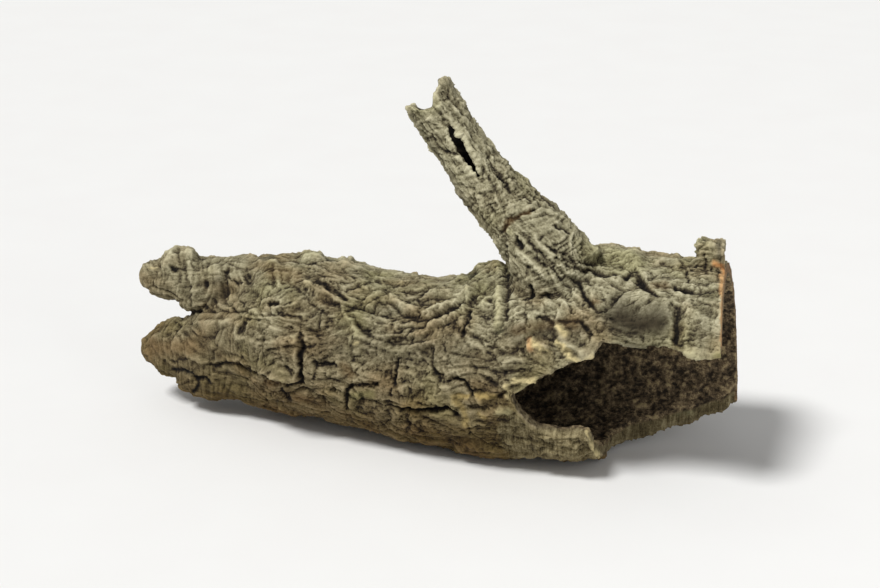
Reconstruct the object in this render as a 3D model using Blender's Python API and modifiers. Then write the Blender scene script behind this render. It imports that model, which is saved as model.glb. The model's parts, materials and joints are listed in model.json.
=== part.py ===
"""Cork bark tube: hollow bark of a trunk with a forked end, a split side branch and a torn side window.

The bark grew as one piece, so it is one solid. It lies on its underside along X, with its sawn end at +X and
its branch up. What was traced from the photograph is written in its pixels, and the view below turns pixels
into metres.
"""

import itertools
import math

import bmesh
import bpy
import numpy as np
from mathutils import Matrix, Vector
from mathutils.bvhtree import BVHTree

NAME = "cork_bark_tube"

# Real sizes, in metres: the whole length, the bark's thickness, the thinnest that relief leaves it, and how far
# and from where the wall is measured
LENGTH = 0.500
TRUNK_WALL = 0.013
LIMB_WALL = 0.008
BRANCH_WALL = 0.008
LEAST_WALL = 0.004
LEAST_RADIUS = 0.004
WALL_REACH = 0.030
WALL_START = 0.0003

# How far cutters reach past what they cut, the depth of the sawn end's last clean cut, and the size of blocks,
# in metres
END_REACH = 0.030
WINDOW_REACH = 0.030
WINDOW_BITE = 0.045
END_TRIM = 0.0015
SAWN_BLOCK = (0.2, 0.5, 0.6)
FLOOR_BLOCK = (1.0, 1.0, 0.1)
CUT_NEAR = -0.06
NOTCH_FAR = 0.08
SLIT_FAR = 0.0

# Fineness: size of the even faces in metres, rounds of smoothing, triangles wanted, points between stations,
# sides of a tube and rows of the window
VOXEL = 0.0024
SOFTENING = 4
TRIANGLES = 9400
PATH_STEPS = 6
TUBE_SIDES = 10
WINDOW_ROWS = 80
WINDOW_ACROSS = 12
WELD = 0.00001

BARK_COLOUR = (0.162, 0.141, 0.104, 1)
BARK_ROUGHNESS = 0.9

# The photograph's view: where the camera stands, and the pixel at the middle of the picture
VIEW_TURN = math.radians(14)
VIEW_RISE = math.radians(20)
VIEW_DISTANCE = 1.6
VIEW_TARGET = Vector((0.0170, -0.0047, 0.1246))
PHOTO_MIDDLE = (440, 294)

# The upright plane that depths are counted from, as a place along Y
MIDDLE_PLANE = -0.0027

# The bark's length in pixels, squared up for the turn of the view, gives the size of a pixel in metres
LENGTH_PX = 632
PIXEL = LENGTH / LENGTH_PX

# Tubes: pixel of the middle line, radius in pixels, depth behind the middle plane in millimetres
TRUNK = (
    (196, 331, 22, 26),
    (222, 331, 42, 25),
    (255, 331, 62, 22),
    (300, 331, 79, 18),
    (350, 342, 81, 13),
    (400, 353, 83, 8),
    (450, 361, 87, 3),
    (500, 361, 95, 0),
    (550, 357, 100, 0),
    (600, 355, 104, 0),
    (650, 358, 105, 0),
    (700, 363, 106, 0),
    (780, 369, 106, 0),
)
UPPER_LIMB = (
    (143, 278, 11, 31),
    (150, 277, 18, 31),
    (164, 276, 23, 31),
    (182, 277, 25, 30),
    (204, 285, 30, 29),
    (245, 286, 32, 27),
    (290, 291, 38, 22),
    (330, 302, 42, 16),
)
LOWER_LIMB = (
    (144, 346, 10, 22),
    (152, 347, 18, 22),
    (165, 348, 28, 22),
    (185, 348, 34, 22),
    (206, 355, 44, 22),
    (245, 358, 47, 20),
    (290, 364, 49, 18),
    (330, 366, 52, 15),
)
BRANCH = (
    (425, 87, 27, 5),
    (440, 114, 28, 3),
    (457, 142, 28, 1),
    (485, 180, 31, -3),
    (513, 214, 34, -6),
    (538, 241, 41, -8),
    (552, 267, 46, -8),
    (561, 300, 56, -4),
    (566, 345, 44, 0),
)

# The torn window's lower and upper edge: pixel along the trunk, and degrees from straight down toward the
# front
WINDOW_LOW = (
    (531, 84),
    (535, 74),
    (545, 63),
    (569, 58),
    (591, 59),
    (601, 57),
    (606, 0),
    (630, -12),
    (652, -17),
    (673, -25),
    (688, -29),
    (707, -37),
    (719, -38),
    (728, -46),
    (762, -48),
)
WINDOW_HIGH = (
    (531, 90),
    (543, 93),
    (556, 97),
    (575, 103),
    (589, 106),
    (611, 112),
    (617, 117),
    (653, 115),
    (675, 117),
    (710, 114),
    (762, 113),
)

# Low lumps that the bark rests on, where the photograph doesn't show: middle along X and Y, radius and drop,
# in metres
REST_LUMPS = ((-0.112, 0.027, 0.026, 0.009), (0.088, 0.027, 0.022, 0.003))

# How far the window's edges slant from square to the wall, in degrees: its lower edge shows its torn face, and its
# upper edge hides it
WINDOW_SLANT = ((531, 0), (600, 0), (625, 42), (762, 36))

# The sawn end: pixel of its middle, and how far its plane leans back at the top and turns at the back, in degrees
SAWN_PX = (731, 350)
SAWN_LEAN = 5
SAWN_TURN = 2.4

# The knob left standing on the sawn rim: pixel of its middle, depth in millimetres, half sizes and rounding in
# metres, lean in degrees, and the steps and roundness of its edges
KNOB_PX = (709, 258)
KNOB_DEPTH = 2
KNOB_HALF = (0.0125, 0.012, 0.0145)
KNOB_ROUNDING = 0.0045
KNOB_LEAN = 8
KNOB_STEPS = 2
KNOB_PROFILE = 0.5

# The branch's end: the notch beside its taller prong, and the slit between the prongs, as outlines in pixels
NOTCH = (
    (390, 100),
    (405, 107),
    (412, 105),
    (421, 111),
    (433, 108),
    (434, 96),
    (439, 84),
    (436, 77),
    (470, 75),
    (470, 55),
    (390, 55),
)
SLIT = (
    (449, 122),
    (456, 129),
    (462, 140),
    (469, 152),
    (475, 163),
    (481, 176),
    (477, 178),
    (468, 167),
    (460, 156),
    (454, 145),
    (448, 132),
)

# The bark's own relief: lengths along the grain and across it, heights and depths, in metres
FURROW_SIZE = (0.085, 0.020)
FURROW_DEPTH = 0.0035
PLATE_SIZE = (0.040, 0.021)
PLATE_STEP = 0.0030
PLATE_CRACK = 0.0022
SWELL_SIZE = 0.045
SWELL = 0.0030
LUMP_SIZE = 0.013
LUMP = 0.0012
INNER_SIZE = 0.016
INNER = 0.0012
TORN_SIZE = 0.007
TORN = 0.0009

# Where relief fades: a furrow's and a plate crack's half width as shares of a cell, the outer skin and the
# branch's foot in metres, and the cosine of the angle between a face and the line of sight or the floor
FURROW_EDGE = 0.3
PLATE_GAP = (0.02, 0.20)
SKIN = (-0.0040, -0.0015)
BRANCH_FOOT = (-0.006, 0.010)
SEEN = (-0.3, 0.1)
WELL_SEEN = (-0.1, 0.3)
FACING_FLOOR = (0.3, 0.7)

# The branch's finer bark as a share of the trunk's, and how much of the bark's own relief gives way to what
# was traced
BRANCH_SHARE = 0.6
BRANCH_SWELL = 0.4
GIVES_WAY = 0.45

# Seeds of the bark's own relief
TRUNK_SEED = 3
BRANCH_SEED = 8
SWELL_SEED = 21
LUMP_SEED = 22
INNER_SEED = 31
TORN_SEED = 32

# Numbers that stir a lattice cell into a repeatable one, and the gain that brings the noise to about -1 to 1
STIR = (127.1, 311.7, 74.7)
STIR_SEED = 19.19
STIR_GAIN = 43758.5453
NOISE_GAIN = 1.6
SLOPE_SEEDS = (0.0, 3.1, 7.7)
HEART_SEEDS = (1.3, 5.9, 9.2)
NUMBER_SEED = 17.0
FAR = 9.0

# Traced cracks: half width in pixels, depth in millimetres, middle line in pixels
CRACKS = (
    (3, 3.5, ((180, 315), (196, 312), (215, 311), (242, 311), (256, 315), (280, 313), (300, 318))),
    (4, 4.0, ((227, 268), (225, 285), (224, 300), (231, 310))),
    (4, 4.5, ((268, 303), (276, 303))),
    (3, 3.0, ((246, 319), (241, 333))),
    (4, 3.8, ((301, 334), (302, 350), (299, 366), (300, 382))),
    (4, 4.5, ((238, 366), (257, 375), (274, 384), (298, 385))),
    (3, 3.0, ((326, 287), (346, 309), (361, 329), (378, 340))),
    (3, 3.0, ((347, 291), (358, 285), (377, 282))),
    (3, 3.0, ((372, 313), (378, 303), (392, 304), (404, 315), (425, 318))),
    (3, 2.5, ((398, 328), (420, 328), (438, 314), (455, 308), (466, 298))),
    (4, 4.0, ((469, 312), (461, 336))),
    (3, 3.0, ((397, 357), (395, 384))),
    (3, 3.0, ((431, 346), (432, 367), (441, 381))),
    (4, 4.5, ((376, 384), (350, 385), (346, 408))),
    (3, 3.0, ((315, 366), (335, 364))),
    (5, 6.0, ((388, 404), (407, 410), (426, 409), (441, 407), (455, 414))),
    (4, 5.0, ((453, 378), (464, 382), (471, 396))),
    (3, 3.0, ((410, 414), (410, 430))),
    (3, 2.5, ((442, 153), (459, 153))),
    (3, 2.5, ((487, 154), (498, 171), (511, 191))),
    (3, 3.0, ((502, 231), (509, 221), (521, 214), (535, 210))),
    (3, 3.0, ((517, 236), (521, 248))),
    (4, 3.5, ((556, 226), (570, 229))),
    (3, 2.4, ((527, 242), (545, 256), (561, 270), (576, 281))),
    (3, 2.2, ((539, 239), (556, 254), (578, 267), (602, 273), (623, 274))),
    (4, 4.0, ((504, 243), (505, 266), (507, 290), (506, 320))),
    (4, 5.0, ((531, 286), (532, 296))),
    (3, 3.5, ((580, 284), (587, 301), (598, 312), (611, 308), (623, 290))),
    (5, 5.0, ((626, 277), (634, 273), (642, 282))),
    (5, 5.0, ((637, 281), (651, 292))),
    (4, 4.5, ((675, 287), (685, 288))),
    (4, 5.0, ((677, 308), (675, 342))),
    (3, 3.5, ((582, 321), (591, 340))),
    (3, 3.5, ((537, 317), (554, 324))),
)

# Traced ridges and lumps: half width in pixels, height in millimetres, middle line in pixels
RIDGES = (
    (10, 6.5, ((166, 262), (177, 250), (191, 258))),
    (7, 2.5, ((262, 262), (274, 262))),
    (14, 6.0, ((594, 252), (612, 251), (634, 254))),
    (11, 4.5, ((306, 258), (318, 258))),
    (7, 4.0, ((343, 261), (349, 261))),
    (6, 3.0, ((305, 284), (325, 293), (343, 305), (356, 333), (380, 346), (400, 351), (434, 342))),
    (6, 3.5, ((367, 307), (380, 297), (392, 299), (405, 309), (424, 313), (446, 306), (475, 290))),
    (5, 3.0, ((375, 337), (406, 336), (420, 335), (433, 324), (449, 318), (462, 310), (471, 294))),
    (7, 2.5, ((440, 106), (452, 120), (466, 138), (478, 160))),
    (6, 3.0, ((534, 238), (552, 258), (572, 274), (600, 279), (622, 280))),
    (6, 2.5, ((518, 250), (536, 266), (556, 284), (570, 296))),
    (7, 4.0, ((480, 270), (488, 266), (498, 266))),
    (7, 4.0, ((498, 288), (499, 300), (499, 318))),
    (8, 4.0, ((548, 302), (566, 302), (584, 312))),
    (8, 5.0, ((530, 347), (545, 346))),
    (8, 5.0, ((560, 333), (569, 345), (582, 352))),
    (7, 3.0, ((480, 400), (497, 390), (506, 384))),
    (7, 3.5, ((482, 414), (500, 412))),
    (5, 2.0, ((686, 286), (722, 286))),
    (12, 4.0, ((462, 449), (500, 452), (540, 452), (575, 453))),
)

# Traced plates: height over their surroundings in millimetres, outline in pixels, and the width of their edge
PLATE_EDGE = 4
PLATES = (
    (
        3.0,
        (
            (205, 318),
            (240, 318),
            (243, 334),
            (262, 340),
            (299, 332),
            (300, 383),
            (275, 381),
            (240, 364),
            (200, 366),
            (168, 350),
            (180, 325),
        ),
    ),
    (2.5, ((184, 262), (222, 260), (222, 306), (190, 309))),
    (2.0, ((352, 341), (392, 352), (391, 383), (352, 382))),
    (3.0, ((392, 386), (430, 372), (452, 384), (460, 410), (440, 404), (408, 406), (390, 402))),
    (2.0, ((618, 296), (674, 296), (675, 346), (612, 346), (592, 322))),
    (2.5, ((682, 296), (724, 292), (724, 360), (681, 360))),
    (2.0, ((582, 284), (622, 284), (610, 308), (598, 312))),
)


def view_axes():
    """Right, up and backward directions of the camera."""
    back = Vector(
        (
            math.sin(VIEW_TURN) * math.cos(VIEW_RISE),
            -math.cos(VIEW_TURN) * math.cos(VIEW_RISE),
            math.sin(VIEW_RISE),
        )
    )
    right = Vector((math.cos(VIEW_TURN), math.sin(VIEW_TURN), 0))
    return right, back.cross(right), back


def camera_place():
    return VIEW_TARGET + VIEW_DISTANCE * view_axes()[2]


def photo_point(px, py, depth):
    """The point behind a pixel of the photograph, this deep behind the middle plane."""
    right, up, back = view_axes()
    camera = camera_place()
    ray = (
        right * (px - PHOTO_MIDDLE[0]) * PIXEL
        + up * (PHOTO_MIDDLE[1] - py) * PIXEL
        - back * VIEW_DISTANCE
    )
    return camera + ray * ((MIDDLE_PLANE + depth - camera.y) / ray.y)


def photo_pixels(points):
    """The photograph's pixel of each point."""
    right, up, back = (np.array(axis) for axis in view_axes())
    away = points - np.array(VIEW_TARGET) - VIEW_DISTANCE * back
    scale = -VIEW_DISTANCE / (away @ back) / PIXEL
    across = PHOTO_MIDDLE[0] + (away @ right) * scale
    down = PHOTO_MIDDLE[1] - (away @ up) * scale
    return np.stack((across, down), axis=1)


def smooth_rows(rows, steps):
    """Rows read off a smooth curve that runs through the given ones."""
    rows = np.array(rows, float)
    padded = np.vstack((2 * rows[0] - rows[1], rows, 2 * rows[-1] - rows[-2]))
    share = np.linspace(0, 1, steps, endpoint=False)[:, None]
    parts = [
        start
        + (end - before) * share / 2
        + (2 * before - 5 * start + 4 * end - after) * share**2 / 2
        + (3 * start - before - 3 * end + after) * share**3 / 2
        for before, start, end, after in zip(padded, padded[1:], padded[2:], padded[3:])
    ]
    return np.vstack((*parts, rows[-1:]))


def unit(vector):
    return vector / np.linalg.norm(vector)


def tube_path(stations, wall=0.0):
    """Middle line and radius of a tube, in metres, less the wall."""
    back = view_axes()[2]
    line = []
    for px, py, radius, depth in smooth_rows(stations, PATH_STEPS):
        point = photo_point(px, py, depth / 1000)
        away = (camera_place() - point).dot(back) / VIEW_DISTANCE
        line.append((*point, max(radius * PIXEL * away - wall, LEAST_RADIUS)))
    return np.array(line)


def lengthened(path, at_start, at_end):
    """The path carried straight on past its ends."""
    first = path[0].copy()
    last = path[-1].copy()
    first[:3] += at_start * unit(path[0, :3] - path[1, :3])
    last[:3] += at_end * unit(path[-1, :3] - path[-2, :3])
    ends = [first] * (at_start > 0), [last] * (at_end > 0)
    return np.vstack((*ends[0], path, *ends[1]))


def new_collection(name, hidden=False):
    """A collection in the scene. A hidden one is left out of renders."""
    collection = bpy.data.collections.new(name)
    bpy.context.scene.collection.children.link(collection)
    collection.hide_render = hidden
    return collection


def add_helper(name, mesh, collection):
    """A piece that only joins or cuts, drawn as wires."""
    piece = bpy.data.objects.new(name, mesh)
    piece.hide_render = True
    piece.display_type = "WIRE"
    collection.objects.link(piece)
    return piece


def weld(mesh):
    """Joins doubled points and turns the faces outward."""
    sheet = bmesh.new()
    sheet.from_mesh(mesh)
    bmesh.ops.remove_doubles(sheet, verts=sheet.verts, dist=WELD)
    bmesh.ops.recalc_face_normals(sheet, faces=sheet.faces)
    sheet.to_mesh(mesh)
    sheet.free()


def evaluated_mesh(source):
    """The object's mesh with its modifiers applied."""
    bpy.context.view_layer.update()
    graph = bpy.context.evaluated_depsgraph_get()
    return bpy.data.meshes.new_from_object(source.evaluated_get(graph))


def tube_mesh(name, path):
    """A closed tube along the path, swept by a bevelled curve."""
    curve = bpy.data.curves.new(name, "CURVE")
    curve.dimensions = "3D"
    curve.bevel_depth = 1
    curve.bevel_resolution = TUBE_SIDES
    curve.use_fill_caps = True
    spline = curve.splines.new("POLY")
    spline.points.add(len(path) - 1)
    for point, (x, y, z, radius) in zip(spline.points, path):
        point.co = (x, y, z, 1)
        point.radius = radius
    swept = bpy.data.objects.new(name, curve)
    bpy.context.scene.collection.objects.link(swept)
    mesh = evaluated_mesh(swept)
    bpy.data.objects.remove(swept)
    bpy.data.curves.remove(curve)
    weld(mesh)
    return mesh


def trunk_frames(path):
    """Along, up and back directions at each point of the trunk's middle line."""
    along = np.gradient(path[:, :3], axis=0)
    along /= np.linalg.norm(along, axis=1)[:, None]
    behind = np.cross((0.0, 0.0, 1.0), along)
    behind /= np.linalg.norm(behind, axis=1)[:, None]
    return along, np.cross(along, behind), behind


def window_mesh(path):
    """The cutter of the window: a curved slab round the trunk, between the window's two edges."""
    low_px, low_turn = np.array(WINDOW_LOW, float).T
    high_px, high_turn = np.array(WINDOW_HIGH, float).T
    pixels = photo_pixels(path[:, :3])[:, 0]
    slant_px, slant_turn = np.array(WINDOW_SLANT, float).T
    up, behind = trunk_frames(path)[1:]
    sheet = bmesh.new()
    bmesh.ops.create_grid(sheet, x_segments=WINDOW_ROWS, y_segments=WINDOW_ACROSS, size=1)
    station = sheet.verts.layers.float.new("station")
    turned = sheet.verts.layers.float.new("turned")
    slanted = sheet.verts.layers.float.new("slanted")

    def move(corner, reach):
        middle = [np.interp(corner[station], pixels, path[:, axis]) for axis in range(4)]
        rise = [np.interp(corner[station], pixels, up[:, axis]) for axis in range(3)]
        rear = [np.interp(corner[station], pixels, behind[:, axis]) for axis in range(3)]
        turn = corner[turned]
        outward = -math.cos(turn) * np.array(rise) - math.sin(turn) * np.array(rear)
        sideways = math.sin(turn) * np.array(rise) - math.cos(turn) * np.array(rear)
        shift = (middle[3] + reach) * outward + reach * corner[slanted] * sideways
        corner.co = np.array(middle[:3]) + shift

    for corner in sheet.verts:
        px = low_px[0] + (corner.co.x + 1) / 2 * (low_px[-1] - low_px[0])
        low = np.interp(px, low_px, low_turn)
        high = np.interp(px, high_px, high_turn)
        corner[station] = px
        corner[turned] = math.radians(low + (high - low) * (corner.co.y + 1) / 2)
        corner[slanted] = -math.tan(math.radians(np.interp(px, slant_px, slant_turn))) * corner.co.y
    grown = bmesh.ops.extrude_face_region(sheet, geom=list(sheet.faces))["geom"]
    inner = {corner for corner in grown if isinstance(corner, bmesh.types.BMVert)}
    for corner in sheet.verts:
        move(corner, -WINDOW_BITE if corner in inner else WINDOW_REACH)
    bmesh.ops.recalc_face_normals(sheet, faces=sheet.faces)
    mesh = bpy.data.meshes.new("window")
    sheet.to_mesh(mesh)
    sheet.free()
    return mesh


def view_prism(name, outline, near, far):
    """A block whose sides run along the lines of sight through an outline in pixels."""
    sheet = bmesh.new()
    face = sheet.faces.new([sheet.verts.new(photo_point(px, py, near)) for px, py in outline])
    grown = bmesh.ops.extrude_face_region(sheet, geom=[face])["geom"]
    camera = camera_place()
    for corner in grown:
        if isinstance(corner, bmesh.types.BMVert):
            ray = corner.co - camera
            corner.co = camera + ray * ((MIDDLE_PLANE + far - camera.y) / ray.y)
    bmesh.ops.recalc_face_normals(sheet, faces=sheet.faces)
    mesh = bpy.data.meshes.new(name)
    sheet.to_mesh(mesh)
    sheet.free()
    return mesh


def box_mesh(name, size, middle, turn=None):
    """A block, turned about its middle."""
    sheet = bmesh.new()
    turn = turn or Matrix.Identity(3)
    place = Matrix.Translation(middle) @ turn.to_4x4() @ Matrix.Diagonal((*size, 1))
    bmesh.ops.create_cube(sheet, size=1, matrix=place)
    mesh = bpy.data.meshes.new(name)
    sheet.to_mesh(mesh)
    sheet.free()
    return mesh


def sawn_block(name, extra=0.0):
    """The block beyond the sawn end, moved in a little for the last clean cut."""
    lean = Matrix.Rotation(-math.radians(SAWN_LEAN), 3, "Y")
    turn = Matrix.Rotation(math.radians(SAWN_TURN), 3, "Z") @ lean
    middle = photo_point(*SAWN_PX, 0) + turn @ Vector((SAWN_BLOCK[0] / 2 - extra, 0, 0))
    return box_mesh(name, SAWN_BLOCK, middle, turn)


def knob_mesh():
    """The rough block left standing on the sawn rim."""
    sheet = bmesh.new()
    lean = Matrix.Rotation(math.radians(KNOB_LEAN), 4, "Y")
    place = Matrix.Translation(photo_point(*KNOB_PX, KNOB_DEPTH / 1000)) @ lean
    bmesh.ops.create_cube(sheet, size=2, matrix=place @ Matrix.Diagonal((*KNOB_HALF, 1)))
    bmesh.ops.bevel(
        sheet,
        geom=list(sheet.edges),
        offset=KNOB_ROUNDING,
        segments=KNOB_STEPS,
        profile=KNOB_PROFILE,
        affect="EDGES",
        material=-1,
    )
    mesh = bpy.data.meshes.new("knob")
    sheet.to_mesh(mesh)
    sheet.free()
    return mesh


def lattice_number(cells, seed):
    """A repeatable number from 0 to 1 for each cell of a lattice."""
    mixed = cells @ np.array(STIR) + STIR_SEED * seed
    return np.modf(np.abs(np.sin(mixed)) * STIR_GAIN)[0]


def noise(points, seed):
    """Smooth gradient noise, about -1 to 1."""
    base = np.floor(points)
    part = points - base
    ease = part**3 * (part * (part * 6 - 15) + 10)
    total = np.zeros(len(points))
    for corner in itertools.product((0, 1), repeat=3):
        cell = base + corner
        slope = np.stack([2 * lattice_number(cell, seed + turn) - 1 for turn in SLOPE_SEEDS], axis=1)
        weight = np.prod(np.where(corner, ease, 1 - ease), axis=1)
        total += weight * np.sum(slope * (part - corner), axis=1)
    return total * NOISE_GAIN


def cells(points, seed):
    """Distance to the edge of each point's cell, as a share of a cell, and the cell's own number."""
    base = np.floor(points)
    nearest = np.full(len(points), FAR)
    second = np.full(len(points), FAR)
    number = np.zeros(len(points))
    for step in itertools.product((-1, 0, 1), repeat=3):
        cell = base + step
        heart = np.stack([lattice_number(cell, seed + turn) for turn in HEART_SEEDS], axis=1)
        distance = np.linalg.norm(cell + heart - points, axis=1)
        closer = distance < nearest
        second = np.where(closer, nearest, np.minimum(second, distance))
        number = np.where(closer, lattice_number(cell, seed + NUMBER_SEED), number)
        nearest = np.minimum(nearest, distance)
    return second - nearest, number


def eased(value, low, high):
    """0 below the low value, 1 above the high one, smooth between."""
    share = np.clip((value - low) / (high - low), 0, 1)
    return share * share * (3 - 2 * share)


def clearance(points, paths):
    """How far each point lies outside the nearest of the tubes, square to their middle lines."""
    result = np.full(len(points), FAR)
    for path in paths:
        nearest = np.full(len(points), FAR)
        outside = np.full(len(points), FAR)
        for start, end in zip(path, path[1:]):
            run = end[:3] - start[:3]
            share = np.clip((points - start[:3]) @ run / (run @ run), 0, 1)
            off = np.linalg.norm(points - start[:3] - share[:, None] * run, axis=1)
            closer = off < nearest
            nearest = np.where(closer, off, nearest)
            outside = np.where(closer, off - start[3] - share * (end[3] - start[3]), outside)
        result = np.minimum(result, outside)
    return result


def line_distance(pixels, line):
    """Distance in pixels from each point to a line of straight runs."""
    result = np.full(len(pixels), np.inf)
    line = np.array(line, float)
    for start, end in zip(line, line[1:]):
        run = end - start
        share = np.clip((pixels - start) @ run / (run @ run), 0, 1)
        result = np.minimum(result, np.linalg.norm(pixels - start - share[:, None] * run, axis=1))
    return result


def inside_outline(pixels, outline):
    """Whether each point lies inside the outline."""
    result = np.zeros(len(pixels), bool)
    for (x0, y0), (x1, y1) in zip(outline, outline[1:] + outline[:1]):
        if y0 == y1:
            continue
        crosses = (pixels[:, 1] > y0) != (pixels[:, 1] > y1)
        result ^= crosses & (pixels[:, 0] < (x1 - x0) * (pixels[:, 1] - y0) / (y1 - y0) + x0)
    return result


def traced_relief(pixels):
    """Height of what was traced from the photograph, in metres."""
    height = np.zeros(len(pixels))
    for rise, outline in PLATES:
        edge = line_distance(pixels, outline + outline[:1])
        height += rise / 1000 * inside_outline(pixels, outline) * eased(edge, 0, PLATE_EDGE)
    for width, rise, line in RIDGES:
        height += rise / 1000 * (1 - eased(line_distance(pixels, line), 0, width))
    for width, depth, line in CRACKS:
        height -= depth / 1000 * (1 - eased(line_distance(pixels, line), 0, width))
    return height


def grain_relief(points, along, seed):
    """Height of furrows along the grain, plates between cracks, and lumps, in metres."""
    along = unit(np.array(along, float))
    across = unit(np.cross((0.0, 1.0, 0.0), along))
    frame = np.stack((along, across, np.cross(along, across)))
    warp = np.stack([noise(points / SWELL_SIZE, seed + turn) for turn in (1, 2, 3)], axis=1)
    place = points @ frame.T + warp * PLATE_SIZE[1] / 2
    furrow = noise(place / (FURROW_SIZE[0], FURROW_SIZE[1], FURROW_SIZE[1]), seed + 4)
    edge, number = cells(place / (PLATE_SIZE[0], PLATE_SIZE[1], PLATE_SIZE[1]), seed + 5)
    height = -FURROW_DEPTH * (1 - eased(np.abs(furrow), 0, FURROW_EDGE))
    height += PLATE_STEP * (number - 0.5) - PLATE_CRACK * (1 - eased(edge, *PLATE_GAP))
    return height


def wall_behind(mesh, points, normals):
    """How much bark lies behind each point, in metres."""
    tree = BVHTree.FromPolygons(points.tolist(), [tuple(face.vertices) for face in mesh.polygons])
    starts = points - WALL_START * normals
    hits = [tree.ray_cast(*ray, WALL_REACH)[3] for ray in zip(starts.tolist(), (-normals).tolist())]
    return np.array([WALL_REACH if distance is None else distance for distance in hits])


def relief(mesh, points, normals):
    """How far each point of the plain tube moves out, in metres."""
    branch = tube_path(BRANCH)
    off_trunk = clearance(points, [tube_path(stations) for stations in (TRUNK, UPPER_LIMB, LOWER_LIMB)])
    off_branch = clearance(points, [branch])
    outside = eased(np.minimum(off_trunk, off_branch), *SKIN)
    on_branch = eased(off_trunk - off_branch, *BRANCH_FOOT)
    branch_way = branch[0, :3] - branch[len(branch) // 2, :3]
    own = grain_relief(points, (1, 0, 0), TRUNK_SEED) * (1 - on_branch)
    own += grain_relief(points, branch_way, BRANCH_SEED) * on_branch * BRANCH_SHARE
    own += SWELL * noise(points / SWELL_SIZE, SWELL_SEED) * (1 + (BRANCH_SWELL - 1) * on_branch)
    own += LUMP * noise(points / LUMP_SIZE, LUMP_SEED)
    sight = np.array(camera_place()) - points
    facing = np.sum(sight * normals, axis=1) / np.linalg.norm(sight, axis=1)
    traced = traced_relief(photo_pixels(points)) * eased(facing, *SEEN)
    own *= 1 - GIVES_WAY * eased(facing, *WELL_SEEN)
    resting = rest_lumps(points) * eased(-normals[:, 2], *FACING_FLOOR)
    off_hollows = clearance(points, list(hollow_paths().values()))
    room = np.minimum(off_hollows, wall_behind(mesh, points, normals)) - LEAST_WALL
    rough = np.maximum(own + traced + resting, -np.maximum(room, 0))
    inner = INNER * noise(points / INNER_SIZE, INNER_SEED) + TORN * noise(points / TORN_SIZE, TORN_SEED)
    return outside * rough + (1 - outside) * inner


def rest_lumps(points):
    """Height of the low lumps that the bark rests on, in metres."""
    height = np.zeros(len(points))
    for x, y, radius, drop in REST_LUMPS:
        height += drop * (1 - eased(np.hypot(points[:, 0] - x, points[:, 1] - y), 0, radius))
    return height


def hollow_paths():
    """The hollows, each tube less its wall, carried on past the ends that are open."""
    return {
        "trunk_hollow": lengthened(tube_path(TRUNK[1:], TRUNK_WALL), 0, END_REACH),
        "upper_hollow": lengthened(tube_path(UPPER_LIMB, LIMB_WALL), END_REACH, 0),
        "lower_hollow": lengthened(tube_path(LOWER_LIMB, LIMB_WALL), END_REACH, 0),
        "branch_hollow": lengthened(tube_path(BRANCH, BRANCH_WALL), END_REACH, 0),
    }


def base_body():
    """The plain tube with its branch, hollows, window and sawn end, before any relief."""
    trunk = tube_path(TRUNK)
    joined = new_collection("joined", hidden=True)
    cutters = new_collection("cutters", hidden=True)
    for name, stations in (("upper_limb", UPPER_LIMB), ("lower_limb", LOWER_LIMB), ("branch", BRANCH)):
        add_helper(name, tube_mesh(name, tube_path(stations)), joined)
    add_helper("knob", knob_mesh(), joined)
    for name, path in hollow_paths().items():
        add_helper(name, tube_mesh(name, path), cutters)
    add_helper("window", window_mesh(trunk), cutters)
    add_helper("sawn_block", sawn_block("sawn_block"), cutters)
    add_helper("notch", view_prism("notch", NOTCH, CUT_NEAR, NOTCH_FAR), cutters)
    add_helper("slit", view_prism("slit", SLIT, CUT_NEAR, SLIT_FAR), cutters)
    body = bpy.data.objects.new(NAME, tube_mesh(NAME, trunk))
    bpy.data.collections[NAME].objects.link(body)
    add_boolean(body, "join", "UNION", joined)
    add_boolean(body, "cut", "DIFFERENCE", cutters)
    remesh = body.modifiers.new("even_faces", "REMESH")
    remesh.mode = "VOXEL"
    remesh.voxel_size = VOXEL
    smooth = body.modifiers.new("soft_joins", "SMOOTH")
    smooth.iterations = SOFTENING
    return body


def rough_body(plain):
    """The plain tube's mesh with its relief."""
    mesh = evaluated_mesh(plain)
    count = len(mesh.vertices)
    points = np.empty(count * 3)
    normals = np.empty(count * 3)
    mesh.vertices.foreach_get("co", points)
    mesh.vertex_normals.foreach_get("vector", normals)
    points = points.reshape(-1, 3)
    normals = normals.reshape(-1, 3)
    points += relief(mesh, points, normals)[:, None] * normals
    mesh.vertices.foreach_set("co", points.ravel())
    return mesh


def add_boolean(body, name, operation, pieces):
    """Joins or cuts every piece of a collection."""
    step = body.modifiers.new(name, "BOOLEAN")
    step.operation = operation
    step.operand_type = "COLLECTION"
    step.collection = pieces
    step.solver = "EXACT"


def bark_material():
    """Weathered cork bark, grey and matt."""
    material = bpy.data.materials.new("weathered_bark")
    material.use_nodes = True
    shader = material.node_tree.nodes["Principled BSDF"]
    shader.inputs["Base Color"].default_value = BARK_COLOUR
    shader.inputs["Roughness"].default_value = BARK_ROUGHNESS
    shader.inputs["Metallic"].default_value = 0
    return material


def main():
    for leftover in list(bpy.data.objects):
        bpy.data.objects.remove(leftover)
    new_collection(NAME)
    body = base_body()
    mesh = rough_body(body)
    body.modifiers.clear()
    body.data = mesh
    mesh.materials.append(bark_material())
    trims = new_collection("trims", hidden=True)
    add_helper("end_trim", sawn_block("end_trim", END_TRIM), trims)
    under = Vector((0, 0, -FLOOR_BLOCK[2] / 2))
    add_helper("floor_trim", box_mesh("floor_trim", FLOOR_BLOCK, under), trims)
    fewer = body.modifiers.new("fewer_faces", "DECIMATE")
    fewer.ratio = TRIANGLES / (2 * len(mesh.polygons))
    add_boolean(body, "flat_faces", "DIFFERENCE", trims)


main()
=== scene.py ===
import itertools
import json
import math

import bmesh
import bpy
import numpy as np
from mathutils import Matrix, Vector
from mathutils.bvhtree import BVHTree

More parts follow.
